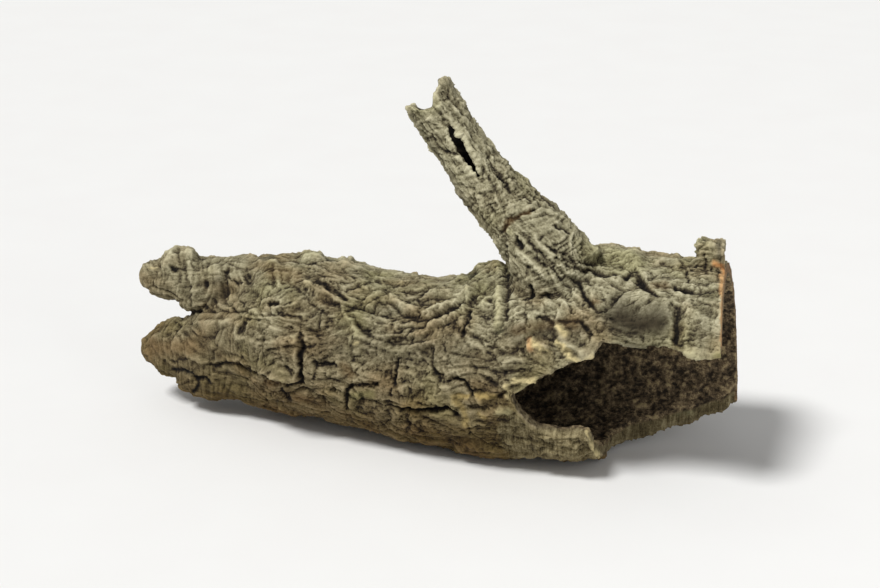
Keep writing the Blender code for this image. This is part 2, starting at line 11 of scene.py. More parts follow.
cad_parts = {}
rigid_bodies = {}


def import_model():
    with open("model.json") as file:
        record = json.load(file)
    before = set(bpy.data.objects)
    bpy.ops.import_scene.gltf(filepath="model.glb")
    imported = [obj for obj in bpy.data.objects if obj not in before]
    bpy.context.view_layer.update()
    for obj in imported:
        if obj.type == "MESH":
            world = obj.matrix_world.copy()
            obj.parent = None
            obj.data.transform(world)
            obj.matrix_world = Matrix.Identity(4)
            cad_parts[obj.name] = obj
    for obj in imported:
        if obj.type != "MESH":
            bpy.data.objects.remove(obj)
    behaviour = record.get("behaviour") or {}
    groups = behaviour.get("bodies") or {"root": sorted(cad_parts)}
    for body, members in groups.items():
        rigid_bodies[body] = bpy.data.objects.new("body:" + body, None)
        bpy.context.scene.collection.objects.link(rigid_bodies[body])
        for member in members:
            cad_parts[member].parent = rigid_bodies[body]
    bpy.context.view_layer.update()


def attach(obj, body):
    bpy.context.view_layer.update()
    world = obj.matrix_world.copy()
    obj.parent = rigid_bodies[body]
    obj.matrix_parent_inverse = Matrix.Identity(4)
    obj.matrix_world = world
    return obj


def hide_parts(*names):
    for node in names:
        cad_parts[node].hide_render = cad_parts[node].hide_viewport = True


bl_info = {
    "name": "Cork bark tube",
    "version": (1, 0, 0),
    "blender": (4, 5, 0),
    "location": "3D View > Sidebar > Cork bark",
    "description": "Builds the weathered bark of a hollow cork oak trunk around its frame, and a plain stage",
    "category": "Add Mesh",
}

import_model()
NODE = "cork_bark_tube"
MM_IN_METRE = 1000

# Real sizes of the frame, in metres: the whole length, the bark's thickness, the thinnest that relief is
# allowed to leave it, and how far and from where the wall is measured
LENGTH = 0.500
TRUNK_WALL = 0.013
LIMB_WALL = 0.008
BRANCH_WALL = 0.008
LEAST_WALL = 0.004
LEAST_RADIUS = 0.004
WALL_REACH = 0.030
WALL_START = 0.0003

# How far cutters reach past what they cut, the depth of the sawn end's last clean cut, and the size of
# blocks, in metres
END_REACH = 0.030
WINDOW_REACH = 0.030
WINDOW_BITE = 0.045
END_TRIM = 0.0015
SAWN_BLOCK = (0.2, 0.5, 0.6)
CUT_NEAR = -0.06
NOTCH_FAR = 0.08
SLIT_FAR = 0.0

# Points between stations, sides of a tube, rows of the window, and how close points are joined
PATH_STEPS = 6
TUBE_SIDES = 10
WINDOW_ROWS = 80
WINDOW_ACROSS = 12
WELD = 0.00001

# How far smoothing reaches over the joins of the plain tube, in metres
JOIN_REACH = 0.0048

# The photograph's view: where the camera stands, its picture in pixels, and the pixel at its middle
VIEW_TURN = math.radians(14)
VIEW_RISE = math.radians(20)
VIEW_DISTANCE = 1.6
VIEW_TARGET = Vector((0.0170, -0.0047, 0.1246))
PHOTO_MIDDLE = (440, 294)
PHOTO_WIDTH = 880
SENSOR_WIDTH = 36.0

# The upright plane that depths are counted from, as a place along Y
MIDDLE_PLANE = -0.0027

# The bark's length in pixels, squared up for the turn of the view, gives the size of a pixel in metres
LENGTH_PX = 632
PIXEL = LENGTH / LENGTH_PX

# Tubes: pixel of the middle line, radius in pixels, depth behind the middle plane in millimetres
TRUNK = (
    (196, 331, 22, 26),
    (222, 331, 42, 25),
    (255, 331, 62, 22),
    (300, 331, 79, 18),
    (350, 342, 81, 13),
    (400, 353, 83, 8),
    (450, 361, 87, 3),
    (500, 361, 95, 0),
    (550, 357, 100, 0),
    (600, 355, 104, 0),
    (650, 358, 105, 0),
    (700, 363, 106, 0),
    (780, 369, 106, 0),
)
UPPER_LIMB = (
    (143, 278, 11, 31),
    (150, 277, 18, 31),
    (164, 276, 23, 31),
    (182, 277, 25, 30),
    (204, 285, 30, 29),
    (245, 286, 32, 27),
    (290, 291, 38, 22),
    (330, 302, 42, 16),
)
LOWER_LIMB = (
    (144, 346, 10, 22),
    (152, 347, 18, 22),
    (165, 348, 28, 22),
    (185, 348, 34, 22),
    (206, 355, 44, 22),
    (245, 358, 47, 20),
    (290, 364, 49, 18),
    (330, 366, 52, 15),
)
BRANCH = (
    (425, 87, 27, 5),
    (440, 114, 28, 3),
    (457, 142, 28, 1),
    (485, 180, 31, -3),
    (513, 214, 34, -6),
    (538, 241, 41, -8),
    (552, 267, 46, -8),
    (561, 300, 56, -4),
    (566, 345, 44, 0),
)

# The torn window's lower and upper edge: pixel along the trunk, and degrees from straight down toward the
# front
WINDOW_LOW = (
    (531, 84),
    (535, 74),
    (545, 63),
    (569, 58),
    (591, 59),
    (601, 57),
    (606, 0),
    (630, -12),
    (652, -17),
    (673, -25),
    (688, -29),
    (707, -37),
    (719, -38),
    (728, -46),
    (762, -48),
)
WINDOW_HIGH = (
    (531, 90),
    (543, 93),
    (556, 97),
    (575, 103),
    (589, 106),
    (611, 112),
    (617, 117),
    (653, 115),
    (675, 117),
    (710, 114),
    (762, 113),
)

# Low lumps that the bark rests on, where the photograph doesn't show: middle along X and Y, radius and drop,
# in metres
REST_LUMPS = ((-0.112, 0.027, 0.026, 0.009), (0.088, 0.027, 0.022, 0.003))

# How far the window's edges slant from square to the wall, in degrees: its lower edge shows its torn face,
# and its upper edge hides it
WINDOW_SLANT = ((531, 0), (600, 0), (625, 42), (762, 36))

# The sawn end: pixel of its middle, and how far its plane leans back at the top and turns at the back, in
# degrees
SAWN_PX = (731, 350)
SAWN_LEAN = 5
SAWN_TURN = 2.4

# The knob left standing on the sawn rim: pixel of its middle, depth in millimetres, half sizes and rounding
# in metres, lean in degrees, and the steps and roundness of its edges
KNOB_PX = (709, 258)
KNOB_DEPTH = 2
KNOB_HALF = (0.0125, 0.012, 0.0145)
KNOB_ROUNDING = 0.0045
KNOB_LEAN = 8
KNOB_STEPS = 2
KNOB_PROFILE = 0.5

# The branch's end: the notch beside its taller prong, and the slit between the prongs, as outlines in pixels
NOTCH = (
    (390, 100),
    (405, 107),
    (412, 105),
    (421, 111),
    (433, 108),
    (434, 96),
    (439, 84),
    (436, 77),
    (470, 75),
    (470, 55),
    (390, 55),
)
SLIT = (
    (449, 122),
    (456, 129),
    (462, 140),
    (469, 152),
    (475, 163),
    (481, 176),
    (477, 178),
    (468, 167),
    (460, 156),
    (454, 145),
    (448, 132),
)

# The bark's own relief: lengths along the grain and across it, heights and depths, in metres
FURROW_SIZE = (0.085, 0.020)
FURROW_DEPTH = 0.0035
PLATE_SIZE = (0.040, 0.021)
PLATE_STEP = 0.0030
PLATE_CRACK = 0.0022
SWELL_SIZE = 0.045
SWELL = 0.0030
LUMP_SIZE = 0.013
LUMP = 0.0012
INNER_SIZE = 0.016
INNER = 0.0012
TORN_SIZE = 0.007
TORN = 0.0009

# Where relief fades: a furrow's and a plate crack's half width as shares of a cell, the outer skin and the
# branch's foot in metres, and the cosine of the angle between a face and the line of sight or the floor
FURROW_EDGE = 0.3
PLATE_GAP = (0.02, 0.20)
SKIN = (-0.0040, -0.0015)
BRANCH_FOOT = (-0.006, 0.010)
SEEN = (-0.3, 0.1)
WELL_SEEN = (-0.1, 0.3)
FACING_FLOOR = (0.3, 0.7)

# The branch's finer bark as a share of the trunk's, and how much of the bark's own relief gives way to what
# was traced
BRANCH_SHARE = 0.6
BRANCH_SWELL = 0.4
GIVES_WAY = 0.45

# Seeds of the bark's own relief, and what each kind of it adds to its part's seed
TRUNK_SEED = 3
BRANCH_SEED = 8
SWELL_SEED = 21
LUMP_SEED = 22
INNER_SEED = 31
TORN_SEED = 32
WARP_TURNS = (1, 2, 3)
FURROW_TURN = 4
PLATE_TURN = 5
BREAK_TURN = 7
ALONG_TURN = 11
WRINKLE_TURN = 12
FLAKE_TURN = 13
CHIP_TURN = 14
CRUMB_TURN = 15
ACROSS_TURN = 21
RING_TURN = 31
RAGGED_TURNS = (41, 42, 43)
PIT_TURN = 2
SAW_TURN = 3
CLOD_TURN = 4
SHAKE_TURNS = (0, 1)
UNEVEN_TURN = 2
VARY_TURN = 3

# Numbers that stir a lattice cell into a repeatable one, and the gain that brings the noise to about -1 to 1
STIR = (127.1, 311.7, 74.7)
STIR_SEED = 19.19
STIR_GAIN = 43758.5453
NOISE_GAIN = 1.6
SLOPE_SEEDS = (0.0, 3.1, 7.7)
HEART_SEEDS = (1.3, 5.9, 9.2)
NUMBER_SEED = 17.0
FAR = 9.0

# Fine relief: sizes in metres of the noise that makes edges ragged, of fissures along and across the grain,
# of wrinkles, chips, crumbs, rings, pits and clods, and how wide each is as a share of its noise
RAGGED_SIZE = 0.0035
RAGGED = 0.0012
ALONG_SIZE = (0.034, 0.0085)
ALONG_WIDTH = 0.11
ACROSS_SIZE = (0.0080, 0.022)
ACROSS_WIDTH = 0.10
BREAK_SIZE = 0.012
BREAK = (-0.05, 0.35)
CROSS_DARK = 0.8
FACET_TILT = 1.1
WRINKLE_SIZE = (0.024, 0.0040)
WRINKLE_EDGE = 0.4
CHIP_SIZE = (0.0055, 0.0034)
CRUMB_SIZE = 0.0024
RING_SIZE = (0.0042, 0.030)
RING_EDGE = 0.5
PIT_SIZE = 0.0034
CLOD_SIZE = 0.0075

# Where the thin limbs start, as how far left in metres, and how much calmer their bark is
LIMB_START = (0.120, 0.155)
LIMB_CALM = 0.8

# Traced strokes: how much wider the fine ones are drawn in pixels, how far noise shakes them in pixels and
# its size in metres, how uneven their width is, and how much of each crack's depth is cut
FINE_SPREAD = 1.0
SHAKE = 2.0
SHAKE_SIZE = 0.006
FINE_SHAKE = 1.2
FINE_SHAKE_SIZE = 0.0022
SHAKE_SEED = 61
UNEVEN = 0.45
UNEVEN_SIZE = 0.007
BROAD_CRACK_SHARE = 0.5
FINE_CRACK_SHARE = 0.55
FINE_RIDGE_SHARE = 0.8

# The raised shoulders of a fine crack, as shares of its depth and width, and how its depth varies along it:
# the middle and reach, the least and most, and the size of the noise in metres
SHOULDER = 0.25
SHOULDER_WIDTH = 3.0
VARY = (0.8, 0.6)
VARY_RANGE = (0.2, 1.4)
VARY_SIZE = 0.009

# Depths in millimetres at which the painted shade of a traced crack is full, how much of a broad
# crack's width is painted shade, and how dark the painted shade in the bark's own fissures is
FULL_DARK = 4.0
BROAD_FULL_DARK = 8.0
BROAD_DARK_WIDTH = 0.6
OWN_DARK = 0.40

# The torn lip under the window: how wide its edge fades in pixels, and its outline in pixels
LIP_EDGE = 7
LIP = (
    (505, 412),
    (514, 409),
    (536, 426),
    (594, 425),
    (640, 418),
    (700, 397),
    (730, 389),
    (745, 386),
    (732, 414),
    (690, 424),
    (670, 430),
    (645, 446),
    (606, 454),
    (600, 464),
    (520, 466),
    (502, 450),
    (492, 430),
)

# The sawn end: how near its plane counts as sawn, and the height and width of its saw marks, in metres
AT_SAW = (-0.0025, -0.0010)
SAW_MARK = 0.0003
SAW_MARK_SIZE = 0.0022

# How far into the hollow a face counts as inner skin, in metres
IN_HOLLOW = (-0.0035, -0.0015)

# What the material reads off the shape, and paints as highlight on what stands out and as shade in hollows:
# rounds of evening out, and the heights that count as full
LEDGE_ROUNDS = 4
LEDGE_HEIGHT = 0.0007
HOLLOW_ROUNDS = 40
HOLLOW_DEPTH = 0.0035

# How strongly each thing lightens or darkens the crust: ledge and rise paint highlight on what stands out and
# shade in hollows, crack paints shade in cracks, and streaks, mottle, broad and grit are the crust's own tone
MIDDLE_TONE = 0.55
LEDGE_TONE = 0.14
RISE_TONE = 0.34
CRACK_TONE = -0.50
STREAK_TONE = 0.45
MOTTLE_TONE = 0.55
GRIT_TONE = 0.65
BROAD_TONE = 0.50

# How much of the brown cast, torn colour and painted light inside the hollow the branch goes without, how
# much of the underside's painted shade the lip takes, and how well the lip's own colour covers
BRANCH_CALM = 0.8
LIP_UNDERSIDE_SHADE = 0.3
LIP_COVER = 0.85

# Heights between which the underside's painted shade fades, and places along X between which the painted
# shade inside gives way to light, in metres
UNDERSIDE_SHADE_HEIGHTS = (0.020, 0.145)
LIT_INSIDE = (0.100, 0.235)

# The closed pieces that the bark is cut into: the height of the branch's cut, the places along X of the
# trunk's cuts, and the trunk's pieces from left to right
BRANCH_CUT = 0.205
TRUNK_CUTS = (-0.130, -0.050, 0.030, 0.116)
TRUNK_PIECES = ("bark_tips", "bark_fork", "bark_middle", "bark_foot", "bark_mouth")
UP, DOWN, LEFT, RIGHT = (0, 0, 1), (0, 0, -1), (-1, 0, 0), (1, 0, 0)

# The stage: places of the lights and width of the near one in metres, how wide the far one looks, and how
# many squares make a side of the floor
KEY_PLACE = (-1.5, -2.1, 4.1)
KEY_WIDTH = math.radians(16)
FILL_PLACE = (1.4, -1.0, 0.8)
FILL_SIZE = 1.0
FLOOR_SQUARES = 4

# Traced cracks: half width in pixels, depth in millimetres, middle line in pixels
CRACKS = (
    (3, 3.5, ((180, 315), (196, 312), (215, 311), (242, 311), (256, 315), (280, 313), (300, 318))),
    (4, 4.0, ((227, 268), (225, 285), (224, 300), (231, 310))),
    (4, 4.5, ((268, 303), (276, 303))),
    (3, 3.0, ((246, 319), (241, 333))),
    (4, 3.8, ((301, 334), (302, 350), (299, 366), (300, 382))),
    (4, 4.5, ((238, 366), (257, 375), (274, 384), (298, 385))),
    (3, 3.0, ((326, 287), (346, 309), (361, 329), (378, 340))),
    (3, 3.0, ((347, 291), (358, 285), (377, 282))),
    (3, 3.0, ((372, 313), (378, 303), (392, 304), (404, 315), (425, 318))),
    (3, 2.5, ((398, 328), (420, 328), (438, 314), (455, 308), (466, 298))),
    (4, 4.0, ((469, 312), (461, 336))),
    (3, 3.0, ((397, 357), (395, 384))),
    (3, 3.0, ((431, 346), (432, 367), (441, 381))),
    (4, 4.5, ((376, 384), (350, 385), (346, 408))),
    (3, 3.0, ((315, 366), (335, 364))),
    (5, 6.0, ((388, 404), (407, 410), (426, 409), (441, 407), (455, 414))),
    (4, 5.0, ((453, 378), (464, 382), (471, 396))),
    (3, 3.0, ((410, 414), (410, 430))),
    (3, 2.5, ((442, 153), (459, 153))),
    (3, 2.5, ((487, 154), (498, 171), (511, 191))),
    (3, 3.0, ((502, 231), (509, 221), (521, 214), (535, 210))),
    (3, 3.0, ((517, 236), (521, 248))),
    (4, 3.5, ((556, 226), (570, 229))),
    (3, 2.4, ((527, 242), (545, 256), (561, 270), (576, 281))),
    (3, 2.2, ((539, 239), (556, 254), (578, 267), (602, 273), (623, 274))),
    (4, 4.0, ((504, 243), (505, 266), (507, 290), (506, 320))),
    (4, 5.0, ((531, 286), (532, 296))),
    (3, 3.5, ((580, 284), (587, 301), (598, 312), (611, 308), (623, 290))),
    (5, 5.0, ((626, 277), (634, 273), (642, 282))),
    (5, 5.0, ((637, 281), (651, 292))),
    (4, 4.5, ((675, 287), (685, 288))),
    (4, 5.0, ((677, 308), (675, 342))),
    (3, 3.5, ((582, 321), (591, 340))),
    (3, 3.5, ((537, 317), (554, 324))),
)

# Traced ridges and lumps: half width in pixels, height in millimetres, middle line in pixels
RIDGES = (
    (10, 6.5, ((166, 262), (177, 250), (191, 258))),
    (7, 2.5, ((262, 262), (274, 262))),
    (14, 6.0, ((594, 252), (612, 251), (634, 254))),
    (11, 4.5, ((306, 258), (318, 258))),
    (7, 4.0, ((343, 261), (349, 261))),
    (6, 3.0, ((305, 284), (325, 293), (343, 305), (356, 333), (380, 346), (400, 351), (434, 342))),
    (6, 3.5, ((367, 307), (380, 297), (392, 299), (405, 309), (424, 313), (446, 306), (475, 290))),
    (5, 3.0, ((375, 337), (406, 336), (420, 335), (433, 324), (449, 318), (462, 310), (471, 294))),
    (7, 2.5, ((440, 106), (452, 120), (466, 138), (478, 160))),
    (6, 3.0, ((534, 238), (552, 258), (572, 274), (600, 279), (622, 280))),
    (6, 2.5, ((518, 250), (536, 266), (556, 284), (570, 296))),
    (7, 4.0, ((480, 270), (488, 266), (498, 266))),
    (7, 4.0, ((498, 288), (499, 300), (499, 318))),
    (8, 4.0, ((548, 302), (566, 302), (584, 312))),
    (8, 5.0, ((530, 347), (545, 346))),
    (8, 5.0, ((560, 333), (569, 345), (582, 352))),
    (7, 3.0, ((480, 400), (497, 390), (506, 384))),
    (7, 3.5, ((482, 414), (500, 412))),
    (5, 2.0, ((686, 286), (722, 286))),
    (12, 4.0, ((462, 449), (500, 452), (540, 452), (575, 453))),
)

# Traced plates: height over their surroundings in millimetres, outline in pixels, and the width of their edge
PLATE_EDGE = 4
PLATES = (
    (
        3.0,
        (
            (205, 318),
            (240, 318),
            (243, 334),
            (262, 340),
            (299, 332),
            (300, 383),
            (275, 381),
            (240, 364),
            (200, 366),
            (168, 350),
            (180, 325),
        ),
    ),
    (2.5, ((184, 262), (222, 260), (222, 306), (190, 309))),
    (2.0, ((352, 341), (392, 352), (391, 383), (352, 382))),
    (3.0, ((392, 386), (430, 372), (452, 384), (460, 410), (440, 404), (408, 406), (390, 402))),
    (2.0, ((618, 296), (674, 296), (675, 346), (612, 346), (592, 322))),
    (2.5, ((682, 296), (724, 292), (724, 360), (681, 360))),
    (2.0, ((582, 284), (622, 284), (610, 308), (598, 312))),
)

# Fine cracks traced from the photograph: half width in pixels, depth in millimetres, then the line's pixels
FINE_CRACKS = (
    (2.5, 4, (171, 268), (176, 269)),
    (1.5, 1.2, (178, 268), (180, 276), (178, 283)),
    (1.5, 1.2, (168, 274), (164, 283)),
    (1.5, 1.2, (172, 279), (175, 285), (170, 288)),
    (1.5, 1.5, (190, 260), (191, 265)),
    (1.2, 1.2, (200, 268), (195, 273), (191, 282), (188, 289)),
    (1.2, 1, (214, 268), (219, 269)),
    (2, 3, (205, 281), (206, 286)),
    (1.5, 1.5, (190, 295), (191, 304)),
    (2, 2.5, (204, 303), (207, 308), (211, 310)),
    (2, 2, (213, 300), (216, 307), (219, 309)),
    (2, 2.5, (226, 270), (229, 276)),
    (2, 2, (230, 280), (236, 283), (242, 282)),
    (2, 2, (244, 276), (247, 280)),
    (2, 2, (238, 299), (243, 306), (246, 308)),
    (1.5, 1.5, (245, 266), (248, 275)),
    (2, 3, (250, 312), (246, 320), (241, 328), (239, 334)),
    (2, 2, (253, 315), (258, 319)),
    (2, 2, (176, 323), (182, 325)),
    (2, 2.5, (177, 331), (178, 336), (183, 340), (186, 345)),
    (1.5, 2, (165, 361), (172, 362), (180, 360), (190, 358)),
    (3, 4, (172, 369), (181, 371), (190, 373), (196, 377), (204, 379), (210, 384)),
    (2.5, 3.5, (197, 380), (197, 387), (193, 393)),
    (2, 2, (241, 358), (238, 366)),
    (3, 3, (216, 367), (226, 362), (236, 366), (243, 371), (252, 375)),
    (3, 3, (272, 270), (273, 284)),
    (2, 2, (281, 274), (281, 281)),
    (2, 2.5, (303, 284), (306, 290), (305, 294)),
    (4, 4, (318, 282), (326, 286), (336, 291), (345, 299)),
    (1.5, 2, (322, 293), (330, 300), (338, 305), (346, 312), (352, 319)),
    (2, 2.5, (346, 313), (352, 309), (360, 304), (366, 298)),
    (2, 2.5, (364, 307), (372, 304), (378, 299)),
    (1.5, 1.5, (350, 290), (356, 287), (364, 285), (373, 281)),
    (2, 2, (352, 276), (356, 279)),
    (2, 2.5, (370, 289), (374, 292)),
    (2, 1.5, (328, 320), (331, 321)),
    (2, 3, (376, 279), (381, 284)),
    (
        1.2, 1.5, (385, 284), (395, 284), (402, 283), (410, 281),
        (418, 283), (427, 285), (429, 289), (417, 299),
    ),
    (2, 2.5, (404, 291), (407, 297)),
    (1.5, 1.5, (444, 285), (447, 290)),
    (1.5, 2, (400, 302), (410, 301), (418, 301), (430, 304)),
    (3, 3.5, (402, 322), (412, 320), (426, 321), (438, 315), (450, 311), (458, 307), (466, 303), (472, 299)),
    (1.5, 2, (440, 325), (448, 323), (457, 318)),
    (3, 4, (469, 311), (470, 318), (466, 323), (461, 332)),
    (2, 2, (472, 301), (480, 299), (491, 300)),
    (2, 2, (390, 312), (393, 320), (391, 327)),
    (1.5, 1.5, (485, 304), (489, 308)),
    (1.5, 1.8, (527, 243), (533, 248), (540, 255), (548, 263), (553, 269), (558, 277), (562, 282)),
    (
        1.5, 1.5, (545, 243), (556, 256), (562, 262), (570, 266),
        (578, 269), (590, 272), (603, 274), (618, 276),
    ),
    (2, 2, (552, 250), (560, 253), (568, 254), (574, 260), (583, 263), (592, 264)),
    (2, 2, (528, 264), (527, 273)),
    (2, 2, (515, 243), (517, 250)),
    (3, 5, (529, 286), (532, 292), (530, 300)),
    (2, 3, (507, 299), (518, 300), (528, 298)),
    (2, 2.5, (546, 294), (550, 298)),
    (1.5, 2, (530, 303), (533, 307)),
    (3, 4, (537, 318), (545, 317), (553, 322)),
    (3, 4.5, (560, 322), (570, 320), (579, 320), (585, 326), (592, 334)),
    (2, 2, (524, 312), (527, 322)),
    (1.5, 2, (580, 308), (584, 312), (582, 318), (586, 317)),
    (3, 4, (579, 281), (580, 289), (585, 297), (591, 304)),
    (2, 2, (596, 300), (604, 299)),
    (4, 4, (624, 280), (629, 273), (636, 269), (642, 278), (650, 290), (655, 296)),
    (2, 2, (649, 270), (652, 274)),
    (1.5, 1.5, (655, 265), (660, 262), (666, 261)),
    (2.5, 3, (681, 262), (686, 268), (688, 276), (687, 281)),
    (3, 4.5, (675, 285), (683, 288), (692, 290)),
    (1.2, 1.5, (686, 290), (700, 291), (722, 290)),
    (2, 2, (668, 296), (670, 302), (675, 307)),
    (1.5, 2, (690, 298), (696, 302), (703, 304), (712, 308)),
    (2, 2.5, (679, 308), (680, 316), (678, 330), (674, 344)),
    (1.2, 1.5, (673, 312), (674, 326)),
    (1.5, 1.5, (711, 318), (711, 327)),
    (2, 2.5, (703, 256), (706, 262), (704, 268), (707, 273)),
    (1.5, 2, (711, 272), (712, 267), (716, 267), (719, 273), (718, 280)),
    (1, 0.8, (690, 306), (690, 356)),
    (1, 0.8, (701, 312), (701, 358)),
    (1, 0.8, (712, 310), (710, 352)),
    (3, 3, (302, 340), (304, 347), (312, 346)),
    (2, 2.5, (315, 336), (320, 342)),
    (2, 3, (314, 360), (315, 372), (313, 380)),
    (2.5, 3, (315, 363), (324, 363), (336, 365)),
    (1.5, 1.5, (330, 376), (336, 371)),
    (2, 3, (353, 330), (354, 340), (350, 347)),
    (1.5, 2, (366, 376), (371, 378), (378, 379)),
    (2.5, 3, (352, 383), (360, 385), (372, 387), (377, 385)),
    (2.5, 4.5, (351, 384), (346, 392), (346, 401), (345, 411)),
    (2, 2.5, (286, 367), (292, 374)),
    (3, 4, (281, 391), (289, 399)),
    (1.5, 2, (322, 392), (330, 396)),
    (2, 2.5, (399, 338), (406, 337), (412, 329)),
    (1.5, 1.5, (380, 341), (390, 342), (400, 345), (410, 344), (420, 341), (430, 341)),
    (2, 2.5, (436, 342), (433, 346), (431, 353)),
    (2.5, 3, (397, 357), (397, 366), (395, 376), (396, 386), (392, 394)),
    (1.5, 1.5, (420, 350), (424, 355)),
    (1.5, 1.5, (462, 338), (468, 345), (470, 349)),
    (3, 3.5, (488, 352), (493, 356)),
    (2.5, 2.5, (433, 370), (440, 378)),
    (3, 5.5, (456, 378), (463, 380), (467, 384), (469, 391), (472, 397)),
    (3, 5.5, (400, 409), (410, 409), (420, 410), (432, 410), (442, 409), (450, 411), (457, 416)),
    (2, 2.5, (420, 402), (427, 403)),
    (1.5, 2, (432, 404), (440, 404)),
    (1.5, 2, (410, 386), (412, 393), (410, 397)),
    (1.5, 2, (475, 391), (485, 392), (498, 391)),
    (2, 2.5, (406, 415), (408, 424), (407, 432)),
    (1.2, 1.5, (419, 420), (420, 433)),
    (1.5, 2.5, (468, 422), (469, 430), (470, 437)),
    (2, 2.5, (471, 362), (476, 372)),
    (2.5, 3, (497, 421), (507, 423), (513, 421)),
    (2.5, 3.5, (299, 334), (301, 345), (299, 360), (300, 376), (301, 384)),
    (2.5, 3.5, (256, 376), (262, 374), (270, 378), (278, 380), (284, 383), (292, 385), (299, 382)),
    (3, 4.5, (268, 302), (276, 302)),
    (2, 2.5, (276, 311), (285, 314), (299, 317)),
    (1.5, 1.5, (528, 436), (533, 446)),
    (1.5, 1.5, (541, 438), (545, 452)),
    (1.5, 1.5, (550, 434), (553, 446)),
    (2, 2, (570, 430), (575, 442)),
    (2, 2, (579, 426), (582, 436)),
    (1.2, 1, (672, 406), (672, 418)),
    (1.2, 1, (702, 397), (702, 408)),
    (1.2, 1, (710, 394), (710, 408)),
    (1.2, 1, (716, 393), (716, 407)),
    (1.2, 1, (722, 392), (722, 405)),
    (1.2, 1, (655, 410), (655, 424)),
    (1.2, 1, (661, 409), (661, 423)),
    (1.5, 1.5, (644, 414), (643, 428)),
    (2, 1.5, (416, 111), (424, 114), (431, 112)),
    (1.5, 1.5, (413, 114), (416, 122)),
    (1.5, 1.8, (419, 126), (424, 131), (430, 136), (433, 143), (438, 149)),
    (2, 2.5, (460, 112), (463, 116)),
    (2, 2.5, (441, 151), (446, 153), (452, 153), (459, 153)),
    (1.2, 1.2, (470, 158), (473, 154), (478, 153)),
    (1.2, 1.2, (449, 85), (450, 93), (450, 101)),
    (1.5, 1.5, (440, 110), (443, 118), (448, 122)),
    (2, 2.5, (489, 152), (491, 165), (497, 172), (502, 178), (506, 184), (509, 191)),
    (2.5, 3, (500, 172), (503, 177)),
    (
        1.5, 1.5, (459, 183), (466, 188), (474, 190), (480, 193),
        (488, 198), (495, 203), (500, 208), (504, 214),
    ),
    (2, 2.5, (469, 207), (474, 204), (478, 203)),
    (1.5, 1.5, (481, 211), (484, 218)),
    (2, 2, (501, 232), (504, 228), (508, 223), (513, 219), (519, 215), (527, 212), (535, 210)),
    (2, 2, (520, 197), (522, 201)),
    (2.5, 2.5, (526, 197), (530, 202)),
    (2.5, 3.5, (516, 236), (518, 243), (521, 249)),
    (1.5, 1.5, (529, 216), (532, 218)),
    (2, 2.5, (540, 240), (543, 236)),
    (2, 3, (556, 224), (560, 228), (566, 230), (570, 231)),
    (1.5, 2.5, (484, 166), (483, 174)),
)

